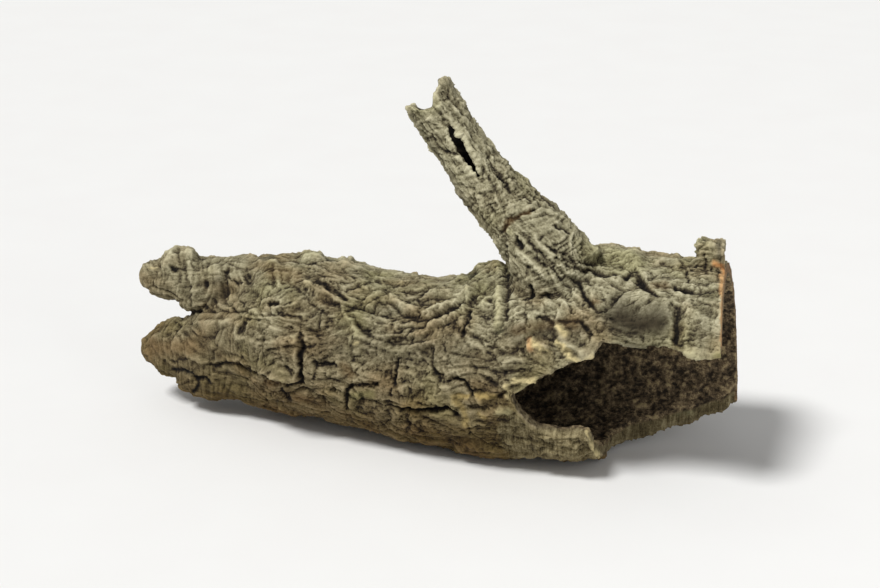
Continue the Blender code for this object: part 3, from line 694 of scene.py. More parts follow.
# Fine ridges and plate edges traced from the photograph: half width in pixels, height in millimetres, then
# the line's pixels
FINE_RIDGES = (
    (3, 1.5, (149, 268), (156, 268)),
    (3, 1.2, (178, 290), (200, 290)),
    (4, 2, (298, 267), (300, 273), (303, 279)),
    (6, 2.5, (322, 280), (332, 277), (340, 281)),
    (5, 2, (340, 284), (347, 286)),
    (3, 2, (320, 294), (328, 298), (336, 302), (344, 307)),
    (3, 1.5, (345, 322), (352, 326), (358, 331)),
    (4, 2, (362, 303), (370, 298), (376, 295)),
    (6, 2.5, (430, 295), (438, 289), (445, 290)),
    (5, 3, (402, 304), (416, 311), (426, 312), (438, 306), (450, 303), (460, 300), (468, 296), (473, 292)),
    (2.5, 2.5, (430, 327), (438, 321), (446, 318), (454, 314), (462, 309), (467, 304)),
    (3, 2, (560, 258), (570, 264), (580, 267), (592, 268)),
    (2, 2, (598, 267), (612, 266), (618, 265)),
    (1.5, 1.5, (579, 282), (597, 283)),
    (3, 2.5, (562, 282), (568, 283), (572, 288), (574, 294), (580, 300), (584, 305)),
    (3, 2.5, (560, 302), (570, 305), (578, 308), (582, 314)),
    (4, 2.5, (531, 297), (538, 293), (546, 292)),
    (4, 2.5, (521, 300), (522, 306), (516, 312)),
    (4, 2, (514, 286), (521, 287)),
    (3, 2.5, (640, 270), (648, 282), (655, 292), (664, 296)),
    (4, 1.5, (673, 294), (688, 296)),
    (2, 1.2, (684, 283), (694, 285)),
    (3, 2, (283, 342), (285, 360)),
    (3, 2.5, (293, 342), (297, 358), (298, 374)),
    (3, 2, (262, 371), (274, 376), (284, 379)),
    (3, 2, (336, 357), (338, 365), (337, 376)),
    (3, 2.5, (354, 342), (359, 344), (368, 347), (375, 351)),
    (2.5, 1.5, (322, 385), (330, 393)),
    (2.5, 1.5, (338, 388), (340, 402)),
    (3, 2, (385, 337), (392, 335), (400, 333), (408, 331)),
    (3, 2, (412, 336), (420, 334), (428, 330), (433, 326)),
    (3, 1.5, (418, 346), (430, 343)),
    (2, 1.5, (432, 341), (440, 337), (447, 342), (447, 354)),
    (2, 1.5, (443, 366), (446, 374), (447, 382)),
    (4, 1.5, (452, 342), (457, 350)),
    (3, 2, (470, 342), (478, 345), (484, 352)),
    (2, 3, (388, 404), (405, 404), (412, 406), (420, 405), (428, 407), (437, 405), (445, 404), (458, 412)),
    (3, 2.5, (510, 340), (518, 338), (526, 337), (532, 339)),
    (2.5, 2, (519, 350), (522, 356), (524, 362)),
    (3, 2, (503, 364), (508, 360), (515, 359), (523, 360)),
    (4, 3, (529, 341), (531, 348), (537, 354), (542, 355)),
    (4, 3.5, (558, 328), (566, 332)),
    (4, 3.5, (556, 343), (563, 345), (567, 352), (572, 359), (578, 362), (586, 360), (592, 355)),
    (3, 2, (532, 374), (543, 372), (552, 370)),
    (4, 2.5, (512, 382), (520, 381), (528, 382), (536, 381)),
    (4, 3, (506, 386), (508, 394), (503, 398)),
    (5, 3.5, (498, 411), (506, 412)),
    (3, 2, (478, 388), (488, 387)),
    (4, 2.5, (476, 395), (488, 396), (494, 395)),
    (3, 2, (481, 414), (486, 417)),
    (3, 1.5, (480, 401), (484, 411)),
    (2, 2, (587, 430), (590, 438), (592, 445), (595, 452), (598, 456)),
    (4, 2.5, (151, 338), (160, 336), (166, 339)),
    (3, 2, (144, 340), (143, 350), (146, 354)),
    (3, 1.5, (438, 82), (437, 96), (440, 104)),
    (3, 1.5, (466, 150), (473, 162), (478, 172)),
    (2.5, 1.5, (466, 168), (472, 170), (475, 176)),
    (3, 2, (506, 230), (511, 234)),
)

# Patches of colour traced from the photograph: the colour's name, half width in pixels, strength, then the
# line's pixels
PATCHES = (
    # Partly painted shade under the pale lobe and round the cream curls, partly the torn cork's olive brown
    ("slate", 16, 0.55, (514, 334), (548, 330), (584, 328)),
    ("earth", 10, 0.40, (516, 330), (548, 324), (574, 322)),
    ("cream", 6, 1.0, (560, 328), (566, 334)),
    ("cream", 6, 1.0, (557, 343), (564, 347), (571, 357)),
    ("cream", 4, 0.9, (571, 358), (580, 362), (592, 356)),
    ("cream", 7, 1.0, (533, 343), (541, 349)),
    ("cream", 3, 0.7, (546, 350), (550, 353)),
    ("cream", 5, 0.8, (507, 386), (508, 397)),
    ("cream", 4, 0.8, (513, 381), (535, 381)),
    ("cream", 3, 0.9, (355, 343), (358, 343)),
    ("cream", 2, 0.5, (149, 268), (156, 268)),
    ("cream", 2.5, 0.7, (587, 430), (590, 438), (592, 445), (598, 456)),
    ("peach", 5, 0.8, (529, 340), (532, 349)),
    ("peach", 5, 1.0, (714, 264), (722, 266), (727, 278), (728, 300)),
    ("peach", 4, 1.0, (722, 276), (723, 345)),
    ("orange", 4, 0.55, (715, 264), (723, 266), (725, 272)),
    ("ochre", 5, 0.6, (476, 395), (494, 396)),
    ("ochre", 6, 0.5, (454, 398), (464, 412), (466, 424)),
    ("ochre", 4, 0.7, (458, 396), (467, 398)),
    ("ochre", 4, 0.5, (479, 414), (486, 418)),
    ("earth", 9, 0.5, (344, 366), (350, 374)),
    ("earth", 14, 0.45, (272, 272), (294, 274)),
    ("earth", 7, 0.5, (298, 398), (308, 400)),
    ("earth", 8, 0.5, (654, 284), (666, 285)),
    ("moss", 9, 0.5, (354, 395), (370, 395)),
    ("moss", 5, 0.6, (664, 353), (676, 353)),
    ("moss", 7, 0.6, (718, 357), (734, 357)),
    ("lichen", 7, 0.5, (678, 411), (690, 411)),
    ("lichen", 7, 0.5, (498, 286), (498, 330)),
    ("lichen", 5, 0.5, (507, 231), (511, 233)),
    ("lichen", 7, 0.5, (499, 412), (507, 412)),
    ("earth", 14, 0.5, (152, 348), (188, 348)),
    ("earth", 4, 0.9, (503, 230), (508, 223), (519, 215), (530, 211)),
    ("earth", 5, 0.6, (264, 384), (279, 384)),
    ("earth", 4, 0.6, (593, 302), (600, 303)),
    ("slate", 9, 0.5, (219, 280), (219, 298)),
    ("slate", 8, 0.4, (408, 118), (430, 150), (470, 212)),
    ("slate", 8, 0.4, (378, 308), (396, 310)),
    ("slate", 30, 1.0, (620, 318), (640, 326), (656, 324)),
    ("slate", 12, 0.25, (704, 300), (704, 345)),
    ("slate", 24, 0.30, (325, 345), (400, 350), (465, 352)),
    # Painted shade along the lower edge of the smooth dark plate, over the window
    ("soot", 5, 0.5, (602, 344), (640, 348), (674, 350)),
    ("soot", 3, 0.7, (260, 259), (274, 259)),
    ("soot", 4, 0.7, (322, 258), (334, 260)),
    ("soot", 4, 0.8, (467, 274), (477, 274)),
    ("soot", 4, 0.8, (485, 265), (492, 266)),
    ("soot", 5, 0.6, (719, 243), (720, 260)),
    ("soot", 5, 0.6, (182, 372), (191, 374)),
)


def view_axes():
    """Right, up and backward directions of the camera."""
    back = Vector(
        (
            math.sin(VIEW_TURN) * math.cos(VIEW_RISE),
            -math.cos(VIEW_TURN) * math.cos(VIEW_RISE),
            math.sin(VIEW_RISE),
        )
    )
    right = Vector((math.cos(VIEW_TURN), math.sin(VIEW_TURN), 0))
    return right, back.cross(right), back


def camera_place():
    """Where the camera stands."""
    return VIEW_TARGET + VIEW_DISTANCE * view_axes()[2]


def photo_point(px, py, depth):
    """The point behind a pixel of the photograph, this deep behind the middle plane."""
    right, up, back = view_axes()
    camera = camera_place()
    ray = (
        right * (px - PHOTO_MIDDLE[0]) * PIXEL
        + up * (PHOTO_MIDDLE[1] - py) * PIXEL
        - back * VIEW_DISTANCE
    )
    return camera + ray * ((MIDDLE_PLANE + depth - camera.y) / ray.y)


def photo_pixels(points):
    """The photograph's pixel of each point."""
    right, up, back = (np.array(axis) for axis in view_axes())
    away = points - np.array(VIEW_TARGET) - VIEW_DISTANCE * back
    scale = -VIEW_DISTANCE / (away @ back) / PIXEL
    across = PHOTO_MIDDLE[0] + (away @ right) * scale
    down = PHOTO_MIDDLE[1] - (away @ up) * scale
    return np.stack((across, down), axis=1)


def smooth_rows(rows, steps):
    """Rows read off a smooth curve that runs through the given ones."""
    rows = np.array(rows, float)
    padded = np.vstack((2 * rows[0] - rows[1], rows, 2 * rows[-1] - rows[-2]))
    share = np.linspace(0, 1, steps, endpoint=False)[:, None]
    parts = [
        start
        + (end - before) * share / 2
        + (2 * before - 5 * start + 4 * end - after) * share**2 / 2
        + (3 * start - before - 3 * end + after) * share**3 / 2
        for before, start, end, after in zip(padded, padded[1:], padded[2:], padded[3:])
    ]
    return np.vstack((*parts, rows[-1:]))


def unit(vector):
    """The vector's direction, one long."""
    return vector / np.linalg.norm(vector)


def tube_path(stations, wall=0.0):
    """Middle line and radius of a tube, in metres, less the wall."""
    back = view_axes()[2]
    line = []
    for px, py, radius, depth in smooth_rows(stations, PATH_STEPS):
        point = photo_point(px, py, depth / MM_IN_METRE)
        away = (camera_place() - point).dot(back) / VIEW_DISTANCE
        line.append((*point, max(radius * PIXEL * away - wall, LEAST_RADIUS)))
    return np.array(line)


def lengthened(path, at_start, at_end):
    """The path carried straight on past its ends."""
    first = path[0].copy()
    last = path[-1].copy()
    first[:3] += at_start * unit(path[0, :3] - path[1, :3])
    last[:3] += at_end * unit(path[-1, :3] - path[-2, :3])
    ends = [first] * (at_start > 0), [last] * (at_end > 0)
    return np.vstack((*ends[0], path, *ends[1]))


def new_collection(name, hidden=False):
    """A collection in the scene. A hidden one is left out of renders."""
    collection = bpy.data.collections.new(name)
    bpy.context.scene.collection.children.link(collection)
    collection.hide_render = hidden
    return collection


def add_helper(name, mesh, collection):
    """A piece that only joins or cuts, drawn as wires."""
    piece = bpy.data.objects.new(name, mesh)
    piece.hide_render = True
    piece.display_type = "WIRE"
    collection.objects.link(piece)
    return piece


def weld(mesh):
    """Joins doubled points and turns the faces outward."""
    sheet = bmesh.new()
    sheet.from_mesh(mesh)
    bmesh.ops.remove_doubles(sheet, verts=sheet.verts, dist=WELD)
    bmesh.ops.recalc_face_normals(sheet, faces=sheet.faces)
    sheet.to_mesh(mesh)
    sheet.free()


def evaluated_mesh(source):
    """The object's mesh with its modifiers applied."""
    bpy.context.view_layer.update()
    graph = bpy.context.evaluated_depsgraph_get()
    return bpy.data.meshes.new_from_object(source.evaluated_get(graph))


def tube_mesh(name, path):
    """A closed tube along the path, swept by a bevelled curve."""
    curve = bpy.data.curves.new(name, "CURVE")
    curve.dimensions = "3D"
    curve.bevel_depth = 1
    curve.bevel_resolution = TUBE_SIDES
    curve.use_fill_caps = True
    spline = curve.splines.new("POLY")
    spline.points.add(len(path) - 1)
    for point, (x, y, z, radius) in zip(spline.points, path):
        point.co = (x, y, z, 1)
        point.radius = radius
    swept = bpy.data.objects.new(name, curve)
    bpy.context.scene.collection.objects.link(swept)
    mesh = evaluated_mesh(swept)
    bpy.data.objects.remove(swept)
    bpy.data.curves.remove(curve)
    weld(mesh)
    return mesh


def trunk_frames(path):
    """Along, up and back directions at each point of the trunk's middle line."""
    along = np.gradient(path[:, :3], axis=0)
    along /= np.linalg.norm(along, axis=1)[:, None]
    behind = np.cross((0.0, 0.0, 1.0), along)
    behind /= np.linalg.norm(behind, axis=1)[:, None]
    return along, np.cross(along, behind), behind


def window_mesh(path):
    """The cutter of the window: a curved slab round the trunk, between the window's two edges."""
    low_px, low_turn = np.array(WINDOW_LOW, float).T
    high_px, high_turn = np.array(WINDOW_HIGH, float).T
    pixels = photo_pixels(path[:, :3])[:, 0]
    slant_px, slant_turn = np.array(WINDOW_SLANT, float).T
    up, behind = trunk_frames(path)[1:]
    sheet = bmesh.new()
    bmesh.ops.create_grid(sheet, x_segments=WINDOW_ROWS, y_segments=WINDOW_ACROSS, size=1)
    station = sheet.verts.layers.float.new("station")
    turned = sheet.verts.layers.float.new("turned")
    slanted = sheet.verts.layers.float.new("slanted")

    def move(corner, reach):
        """Puts a corner of the flat grid at its place round the trunk, this far out from the skin."""
        middle = [np.interp(corner[station], pixels, path[:, axis]) for axis in range(4)]
        rise = [np.interp(corner[station], pixels, up[:, axis]) for axis in range(3)]
        rear = [np.interp(corner[station], pixels, behind[:, axis]) for axis in range(3)]
        turn = corner[turned]
        outward = -math.cos(turn) * np.array(rise) - math.sin(turn) * np.array(rear)
        sideways = math.sin(turn) * np.array(rise) - math.cos(turn) * np.array(rear)
        shift = (middle[3] + reach) * outward + reach * corner[slanted] * sideways
        corner.co = np.array(middle[:3]) + shift

    for corner in sheet.verts:
        px = low_px[0] + (corner.co.x + 1) / 2 * (low_px[-1] - low_px[0])
        low = np.interp(px, low_px, low_turn)
        high = np.interp(px, high_px, high_turn)
        corner[station] = px
        corner[turned] = math.radians(low + (high - low) * (corner.co.y + 1) / 2)
        corner[slanted] = -math.tan(math.radians(np.interp(px, slant_px, slant_turn))) * corner.co.y
    grown = bmesh.ops.extrude_face_region(sheet, geom=list(sheet.faces))["geom"]
    inner = {corner for corner in grown if isinstance(corner, bmesh.types.BMVert)}
    for corner in sheet.verts:
        move(corner, -WINDOW_BITE if corner in inner else WINDOW_REACH)
    bmesh.ops.recalc_face_normals(sheet, faces=sheet.faces)
    mesh = bpy.data.meshes.new("window")
    sheet.to_mesh(mesh)
    sheet.free()
    return mesh


def view_prism(name, outline, near, far):
    """A block whose sides run along the lines of sight through an outline in pixels."""
    sheet = bmesh.new()
    face = sheet.faces.new([sheet.verts.new(photo_point(px, py, near)) for px, py in outline])
    grown = bmesh.ops.extrude_face_region(sheet, geom=[face])["geom"]
    camera = camera_place()
    for corner in grown:
        if isinstance(corner, bmesh.types.BMVert):
            ray = corner.co - camera
            corner.co = camera + ray * ((MIDDLE_PLANE + far - camera.y) / ray.y)
    bmesh.ops.recalc_face_normals(sheet, faces=sheet.faces)
    mesh = bpy.data.meshes.new(name)
    sheet.to_mesh(mesh)
    sheet.free()
    return mesh


def box_mesh(name, size, middle, turn=None):
    """A block, turned about its middle."""
    sheet = bmesh.new()
    turn = turn or Matrix.Identity(3)
    place = Matrix.Translation(middle) @ turn.to_4x4() @ Matrix.Diagonal((*size, 1))
    bmesh.ops.create_cube(sheet, size=1, matrix=place)
    mesh = bpy.data.meshes.new(name)
    sheet.to_mesh(mesh)
    sheet.free()
    return mesh


def sawn_block(name, extra=0.0):
    """The block beyond the sawn end, moved in a little for the last clean cut."""
    lean = Matrix.Rotation(-math.radians(SAWN_LEAN), 3, "Y")
    turn = Matrix.Rotation(math.radians(SAWN_TURN), 3, "Z") @ lean
    middle = photo_point(*SAWN_PX, 0) + turn @ Vector((SAWN_BLOCK[0] / 2 - extra, 0, 0))
    return box_mesh(name, SAWN_BLOCK, middle, turn)


def knob_mesh():
    """The rough block left standing on the sawn rim."""
    sheet = bmesh.new()
    lean = Matrix.Rotation(math.radians(KNOB_LEAN), 4, "Y")
    place = Matrix.Translation(photo_point(*KNOB_PX, KNOB_DEPTH / MM_IN_METRE)) @ lean
    bmesh.ops.create_cube(sheet, size=2, matrix=place @ Matrix.Diagonal((*KNOB_HALF, 1)))
    bmesh.ops.bevel(
        sheet,
        geom=list(sheet.edges),
        offset=KNOB_ROUNDING,
        segments=KNOB_STEPS,
        profile=KNOB_PROFILE,
        affect="EDGES",
        material=-1,
    )
    mesh = bpy.data.meshes.new("knob")
    sheet.to_mesh(mesh)
    sheet.free()
    return mesh


def lattice_number(cells, seed):
    """A repeatable number from 0 to 1 for each cell of a lattice."""
    mixed = cells @ np.array(STIR) + STIR_SEED * seed
    return np.modf(np.abs(np.sin(mixed)) * STIR_GAIN)[0]


def noise(points, seed):
    """Smooth gradient noise, about -1 to 1."""
    base = np.floor(points)
    part = points - base
    ease = part**3 * (part * (part * 6 - 15) + 10)
    total = np.zeros(len(points))
    for corner in itertools.product((0, 1), repeat=3):
        cell = base + corner
        slope = np.stack([2 * lattice_number(cell, seed + turn) - 1 for turn in SLOPE_SEEDS], axis=1)
        weight = np.prod(np.where(corner, ease, 1 - ease), axis=1)
        total += weight * np.sum(slope * (part - corner), axis=1)
    return total * NOISE_GAIN


def scales(points, seed):
    """Distance to the edge of each point's cell, as a share of a cell, and the cell's own number and tilt."""
    base = np.floor(points)
    nearest = np.full(len(points), FAR)
    second = np.full(len(points), FAR)
    number = np.zeros(len(points))
    tilt = np.zeros(len(points))
    for step in itertools.product((-1, 0, 1), repeat=3):
        cell = base + step
        heart = np.stack([lattice_number(cell, seed + turn) for turn in HEART_SEEDS], axis=1)
        away = points - cell - heart
        distance = np.linalg.norm(away, axis=1)
        closer = distance < nearest
        second = np.where(closer, nearest, np.minimum(second, distance))
        own = lattice_number(cell, seed + NUMBER_SEED)
        lean = away[:, 0] * np.cos(math.tau * own) + away[:, 2] * np.sin(math.tau * own)
        number = np.where(closer, own, number)
        tilt = np.where(closer, lean, tilt)
        nearest = np.minimum(nearest, distance)
    return second - nearest, number, tilt


def eased(value, low, high):
    """0 below the low value, 1 above the high one, smooth between."""
    share = np.clip((value - low) / (high - low), 0, 1)
    return share * share * (3 - 2 * share)


def clearance(points, paths):
    """How far each point lies outside the nearest of the tubes, square to their middle lines."""
    result = np.full(len(points), FAR)
    for path in paths:
        nearest = np.full(len(points), FAR)
        outside = np.full(len(points), FAR)
        for start, end in zip(path, path[1:]):
            run = end[:3] - start[:3]
            share = np.clip((points - start[:3]) @ run / (run @ run), 0, 1)
            off = np.linalg.norm(points - start[:3] - share[:, None] * run, axis=1)
            closer = off < nearest
            nearest = np.where(closer, off, nearest)
            outside = np.where(closer, off - start[3] - share * (end[3] - start[3]), outside)
        result = np.minimum(result, outside)
    return result


def line_distance(pixels, line):
    """Distance in pixels from each point to a line of straight runs."""
    result = np.full(len(pixels), np.inf)
    line = np.array(line, float)
    for start, end in zip(line, line[1:]):
        run = end - start
        share = np.clip((pixels - start) @ run / (run @ run), 0, 1)
        result = np.minimum(result, np.linalg.norm(pixels - start - share[:, None] * run, axis=1))
    return result


def inside_outline(pixels, outline):
    """Whether each point lies inside the outline."""
    result = np.zeros(len(pixels), bool)
    for (x0, y0), (x1, y1) in zip(outline, outline[1:] + outline[:1]):
        if y0 == y1:
            continue
        crosses = (pixels[:, 1] > y0) != (pixels[:, 1] > y1)
        result ^= crosses & (pixels[:, 0] < (x1 - x0) * (pixels[:, 1] - y0) / (y1 - y0) + x0)
    return result


def stroke(pixels, width, line, uneven=None, sharp=False):
    """How strongly a traced stroke marks each point, from 0 to 1. An uneven one varies in width."""
    line = np.array(line, float)
    mark = np.zeros(len(pixels))
    reach = width * (1 + (uneven is not None) * UNEVEN)
    near = np.all((pixels > line.min(axis=0) - reach) & (pixels < line.max(axis=0) + reach), axis=1)
    spread = width if uneven is None else width * (1 + UNEVEN * uneven[near])
    share = line_distance(pixels[near], line) / spread
    mark[near] = 1 - np.clip(share, 0, 1) if sharp else 1 - eased(share, 0, 1)
    return mark


def broad_relief(pixels):
    """Height of the frame's own traced plates, ridges and cracks, in metres."""
    height = np.zeros(len(pixels))
    for rise, outline in PLATES:
        edge = line_distance(pixels, outline + outline[:1])
        height += rise / MM_IN_METRE * inside_outline(pixels, outline) * eased(edge, 0, PLATE_EDGE)
    for width, rise, line in RIDGES:
        height += rise / MM_IN_METRE * stroke(pixels, width, line)
    for width, depth, line in CRACKS:
        height -= depth / MM_IN_METRE * stroke(pixels, width, line) * BROAD_CRACK_SHARE
    return height


def fine_relief(pixels, uneven, sizes):
    """Height of the traced fine strokes, in metres, and how dark the painted shade of a crack is at each
    point.
    """
    height = np.zeros(len(pixels))
    dark = np.zeros(len(pixels))
    for width, rise, *line in FINE_RIDGES:
        height += rise / MM_IN_METRE * stroke(pixels, width + FINE_SPREAD, line, uneven) * FINE_RIDGE_SHARE
    for width, depth, *line in FINE_CRACKS:
        mark = stroke(pixels, width + FINE_SPREAD, line, uneven, sharp=True)
        height -= depth / MM_IN_METRE * mark * FINE_CRACK_SHARE
        shoulders = stroke(pixels, (width + FINE_SPREAD) * SHOULDER_WIDTH, line)
        height += depth / MM_IN_METRE * shoulders * SHOULDER
        dark = np.maximum(dark, mark**2 * min(depth / FULL_DARK, 1))
    for width, depth, line in CRACKS:
        mark = stroke(pixels, width * BROAD_DARK_WIDTH, line, uneven, sharp=True)
        dark = np.maximum(dark, mark**2 * min(depth / BROAD_FULL_DARK, 1))
    return height * sizes.traced_depth, dark


def slender(size):
    """A size along the grain and one across it, as three lengths."""
    return size[0], size[1], size[1]


def grain_place(points, along, seed):
    """The points in a frame whose first axis runs along the grain, stirred by slow noise."""
    along = unit(np.array(along, float))
    across = unit(np.cross((0.0, 1.0, 0.0), along))
    axes = np.stack((along, across, np.cross(along, across)))
    warp = np.stack([noise(points / SWELL_SIZE, seed + turn) for turn in WARP_TURNS], axis=1)
    return points @ axes.T + warp * PLATE_SIZE[1] / 2


def coarse_grain(place, seed):
    """Height of the frame's own furrows along the grain and of its plates, in metres."""
    furrow = noise(place / slender(FURROW_SIZE), seed + FURROW_TURN)
    edge, number = scales(place / slender(PLATE_SIZE), seed + PLATE_TURN)[:2]
    height = -FURROW_DEPTH * (1 - eased(np.abs(furrow), 0, FURROW_EDGE))
    height += PLATE_STEP * (number - 0.5) - PLATE_CRACK * (1 - eased(edge, *PLATE_GAP))
    return height


def fissures(place, size, width, seed):
    """How far into a fissure each point lies, from 0 to 1: broken wandering lines."""
    line = noise(place / slender(size), seed)
    broken = noise(place / BREAK_SIZE, seed + BREAK_TURN)
    return (1 - np.clip(np.abs(line) / width, 0, 1)) * eased(broken, *BREAK)


def facets(place, size, seed):
    """Height of slanting facets with stepped edges, about -1 to 1."""
    number, tilt = scales(place / slender(size), seed)[1:]
    return number - 0.5 + FACET_TILT * tilt


def fine_grain(place, seed, sizes):
    """Height of fissures, flakes, wrinkles and crumbs, in metres, and how deep in a fissure each point is."""
    ragged = np.stack([noise(place / RAGGED_SIZE, seed + turn) for turn in RAGGED_TURNS], axis=1)
    place = place + RAGGED * ragged
    along = fissures(place, ALONG_SIZE, ALONG_WIDTH, seed + ALONG_TURN)
    across = fissures(place, ACROSS_SIZE, ACROSS_WIDTH, seed + ACROSS_TURN)
    wrinkle = noise(place / slender(WRINKLE_SIZE), seed + WRINKLE_TURN)
    height = sizes.flake_step * facets(place, (sizes.flake_length, sizes.flake_width), seed + FLAKE_TURN)
    height += sizes.chip_step * facets(place, CHIP_SIZE, seed + CHIP_TURN)
    height -= sizes.fissure_depth * along + sizes.cross_depth * across
    height += sizes.wrinkle_depth * (eased(np.abs(wrinkle), 0, WRINKLE_EDGE) - 0.5)
    height += sizes.crumb_height * noise(place / CRUMB_SIZE, seed + CRUMB_TURN)
    return np.stack((height, np.maximum(along, CROSS_DARK * across)), axis=1)


def rings(place, seed, sizes):
    """Height of the fine rings that run round the thin limbs, in metres."""
    ring = noise(place / slender(RING_SIZE), seed + RING_TURN)
    return sizes.ring_depth * (eased(np.abs(ring), 0, RING_EDGE) - 0.5)


def on_part(points, share, make, *settings):
    """Rows worked out only where their share of the surface is above nothing."""
    here = share > 0
    rows = make(points[here], *settings)
    rows = rows.reshape(len(rows), -1)
    result = np.zeros((len(points), rows.shape[1]))
    result[here] = rows * share[here, None]
    return result


def rest_lumps(points):
    """Height of the low lumps that the bark rests on, in metres."""
    height = np.zeros(len(points))
    for x, y, radius, drop in REST_LUMPS:
        height += drop * (1 - eased(np.hypot(points[:, 0] - x, points[:, 1] - y), 0, radius))
    return height


def wall_behind(mesh, points, normals):
    """How much bark lies behind each point, in metres."""
    tree = BVHTree.FromPolygons(points.tolist(), [tuple(face.vertices) for face in mesh.polygons])
    starts = points - WALL_START * normals
    hits = [tree.ray_cast(*ray, WALL_REACH)[3] for ray in zip(starts.tolist(), (-normals).tolist())]
    return np.array([WALL_REACH if distance is None else distance for distance in hits])


def sawn_plane():
    """A point on the sawn end's last clean cut, and the way out of it."""
    lean = Matrix.Rotation(-math.radians(SAWN_LEAN), 3, "Y")
    out = Matrix.Rotation(math.radians(SAWN_TURN), 3, "Z") @ lean @ Vector((1, 0, 0))
    return np.array(photo_point(*SAWN_PX, 0) - END_TRIM * out), np.array(out)


def weather(mesh, points, normals, sizes):
    """How far each point of the plain tube moves out, in metres, and what each point is."""
    branch = tube_path(BRANCH)
    off_trunk = clearance(points, [tube_path(stations) for stations in (TRUNK, UPPER_LIMB, LOWER_LIMB)])
    off_branch = clearance(points, [branch])
    off_hollows = clearance(points, list(hollow_paths().values()))
    outside = eased(np.minimum(off_trunk, off_branch), *SKIN)
    on_branch = eased(off_trunk - off_branch, *BRANCH_FOOT)
    branch_way = branch[0, :3] - branch[len(branch) // 2, :3]
    trunk_place = grain_place(points, (1, 0, 0), TRUNK_SEED)
    branch_place = grain_place(points, branch_way, BRANCH_SEED)
    on_limbs = eased(-points[:, 0], *LIMB_START)
    trunk_share = outside * (1 - on_branch)
    branch_share = outside * on_branch
    own = on_part(trunk_place, trunk_share, coarse_grain, TRUNK_SEED)[:, 0]
    own += on_part(branch_place, branch_share * BRANCH_SHARE, coarse_grain, BRANCH_SEED)[:, 0]
    own += SWELL * noise(points / SWELL_SIZE, SWELL_SEED) * (1 + (BRANCH_SWELL - 1) * on_branch)
    own += LUMP * noise(points / LUMP_SIZE, LUMP_SEED)
    calm = 1 - LIMB_CALM * on_limbs
    fine = on_part(trunk_place, trunk_share * calm, fine_grain, TRUNK_SEED, sizes)
    fine += on_part(branch_place, branch_share, fine_grain, BRANCH_SEED, sizes)
    ringed = on_part(trunk_place, trunk_share * on_limbs, rings, TRUNK_SEED, sizes)[:, 0]
    ringed += on_part(branch_place, branch_share, rings, BRANCH_SEED, sizes)[:, 0]
    sight = np.array(camera_place()) - points
    facing = np.sum(sight * normals, axis=1) / np.linalg.norm(sight, axis=1)
    pixels = photo_pixels(points)
    shaken = pixels.copy()
    for shake, size in ((SHAKE, SHAKE_SIZE), (FINE_SHAKE, FINE_SHAKE_SIZE)):
        shaken += shake * np.stack([noise(points / size, SHAKE_SEED + turn) for turn in SHAKE_TURNS], axis=1)
    uneven = np.clip(noise(points / UNEVEN_SIZE, SHAKE_SEED + UNEVEN_TURN), -1, 1)
    seen = eased(facing, *SEEN)
    fine_height, crack = fine_relief(shaken, uneven, sizes)
    vary = np.clip(VARY[0] + VARY[1] * noise(points / VARY_SIZE, SHAKE_SEED + VARY_TURN), *VARY_RANGE)
    traced = (broad_relief(shaken) + fine_height * vary) * seen
    well_seen = eased(facing, *WELL_SEEN)
    own *= 1 - GIVES_WAY * well_seen
    resting = rest_lumps(points) * eased(-normals[:, 2], *FACING_FLOOR)
    room = np.minimum(off_hollows, wall_behind(mesh, points, normals)) - LEAST_WALL
    rough = np.maximum(own + fine[:, 0] + ringed + traced + resting, -np.maximum(room, 0))
    inner = INNER * noise(points / INNER_SIZE, INNER_SEED) + TORN * noise(points / TORN_SIZE, TORN_SEED)
    inner += sizes.pit_depth * noise(points / PIT_SIZE, INNER_SEED + PIT_TURN)
    inner += sizes.clod_height * noise(points / CLOD_SIZE, INNER_SEED + CLOD_TURN)
    in_hollow = eased(-off_hollows, *IN_HOLLOW)
    move = outside * rough + (1 - outside) * inner
    patch, strength = patch_colours(shaken, facing)
    inside = (1 - outside) * in_hollow
    torn = (1 - outside) * (1 - in_hollow)
    plane, out = sawn_plane()
    sawn = torn * eased((points - plane) @ out, *AT_SAW)
    lip = inside_outline(shaken, LIP) * eased(line_distance(shaken, LIP + LIP[:1]), 0, LIP_EDGE)
    lip *= well_seen * (1 - inside)
    # The crack value is painted shade in the traced cracks and in the bark's own fissures
    kinds = {
        "inside": inside,
        "torn": torn,
        "sawn": sawn,
        "lip": lip,
        "crack": np.maximum(crack * seen, fine[:, 1] * OWN_DARK) * outside,
        "on_branch": on_branch,
    }
    grain = trunk_place * (1 - on_branch)[:, None] + branch_place * on_branch[:, None]
    return move, kinds, grain, np.column_stack((patch, strength * (1 - inside)))


def patch_colours(pixels, facing):
    """The colour of the traced patches at each point, and how strongly it covers."""
    colours = bpy.context.scene.bark_colours
    colour = np.zeros((len(pixels), 3))
    cover = np.zeros(len(pixels))
    for name, width, strength, *line in PATCHES:
        mark = stroke(pixels, width, line) * strength
        cover = mark + cover * (1 - mark)
        here = mark > 0
        share = (mark[here] / cover[here])[:, None]
        colour[here] = colour[here] * (1 - share) + np.array(getattr(colours, name)[:3]) * share
    return colour, cover * eased(facing, *WELL_SEEN)


def even_out(values, edges, rounds):
    """Each point's values averaged with its neighbours', round after round."""
    count = len(values)
    degree = np.bincount(edges.ravel(), minlength=count)
    first, second = edges.T
    for _ in range(rounds):
        total = [
            np.bincount(first, column[second], count) + np.bincount(second, column[first], count)
            for column in values.T
        ]
        values = (values + np.stack(total, axis=1)) / (degree + 1)[:, None]
    return values


def hollow_paths():
    """The hollows, each tube less its wall, carried on past the ends that are open."""
    return {
        "trunk_hollow": lengthened(tube_path(TRUNK[1:], TRUNK_WALL), 0, END_REACH),
        "upper_hollow": lengthened(tube_path(UPPER_LIMB, LIMB_WALL), END_REACH, 0),
        "lower_hollow": lengthened(tube_path(LOWER_LIMB, LIMB_WALL), END_REACH, 0),
        "branch_hollow": lengthened(tube_path(BRANCH, BRANCH_WALL), END_REACH, 0),
    }


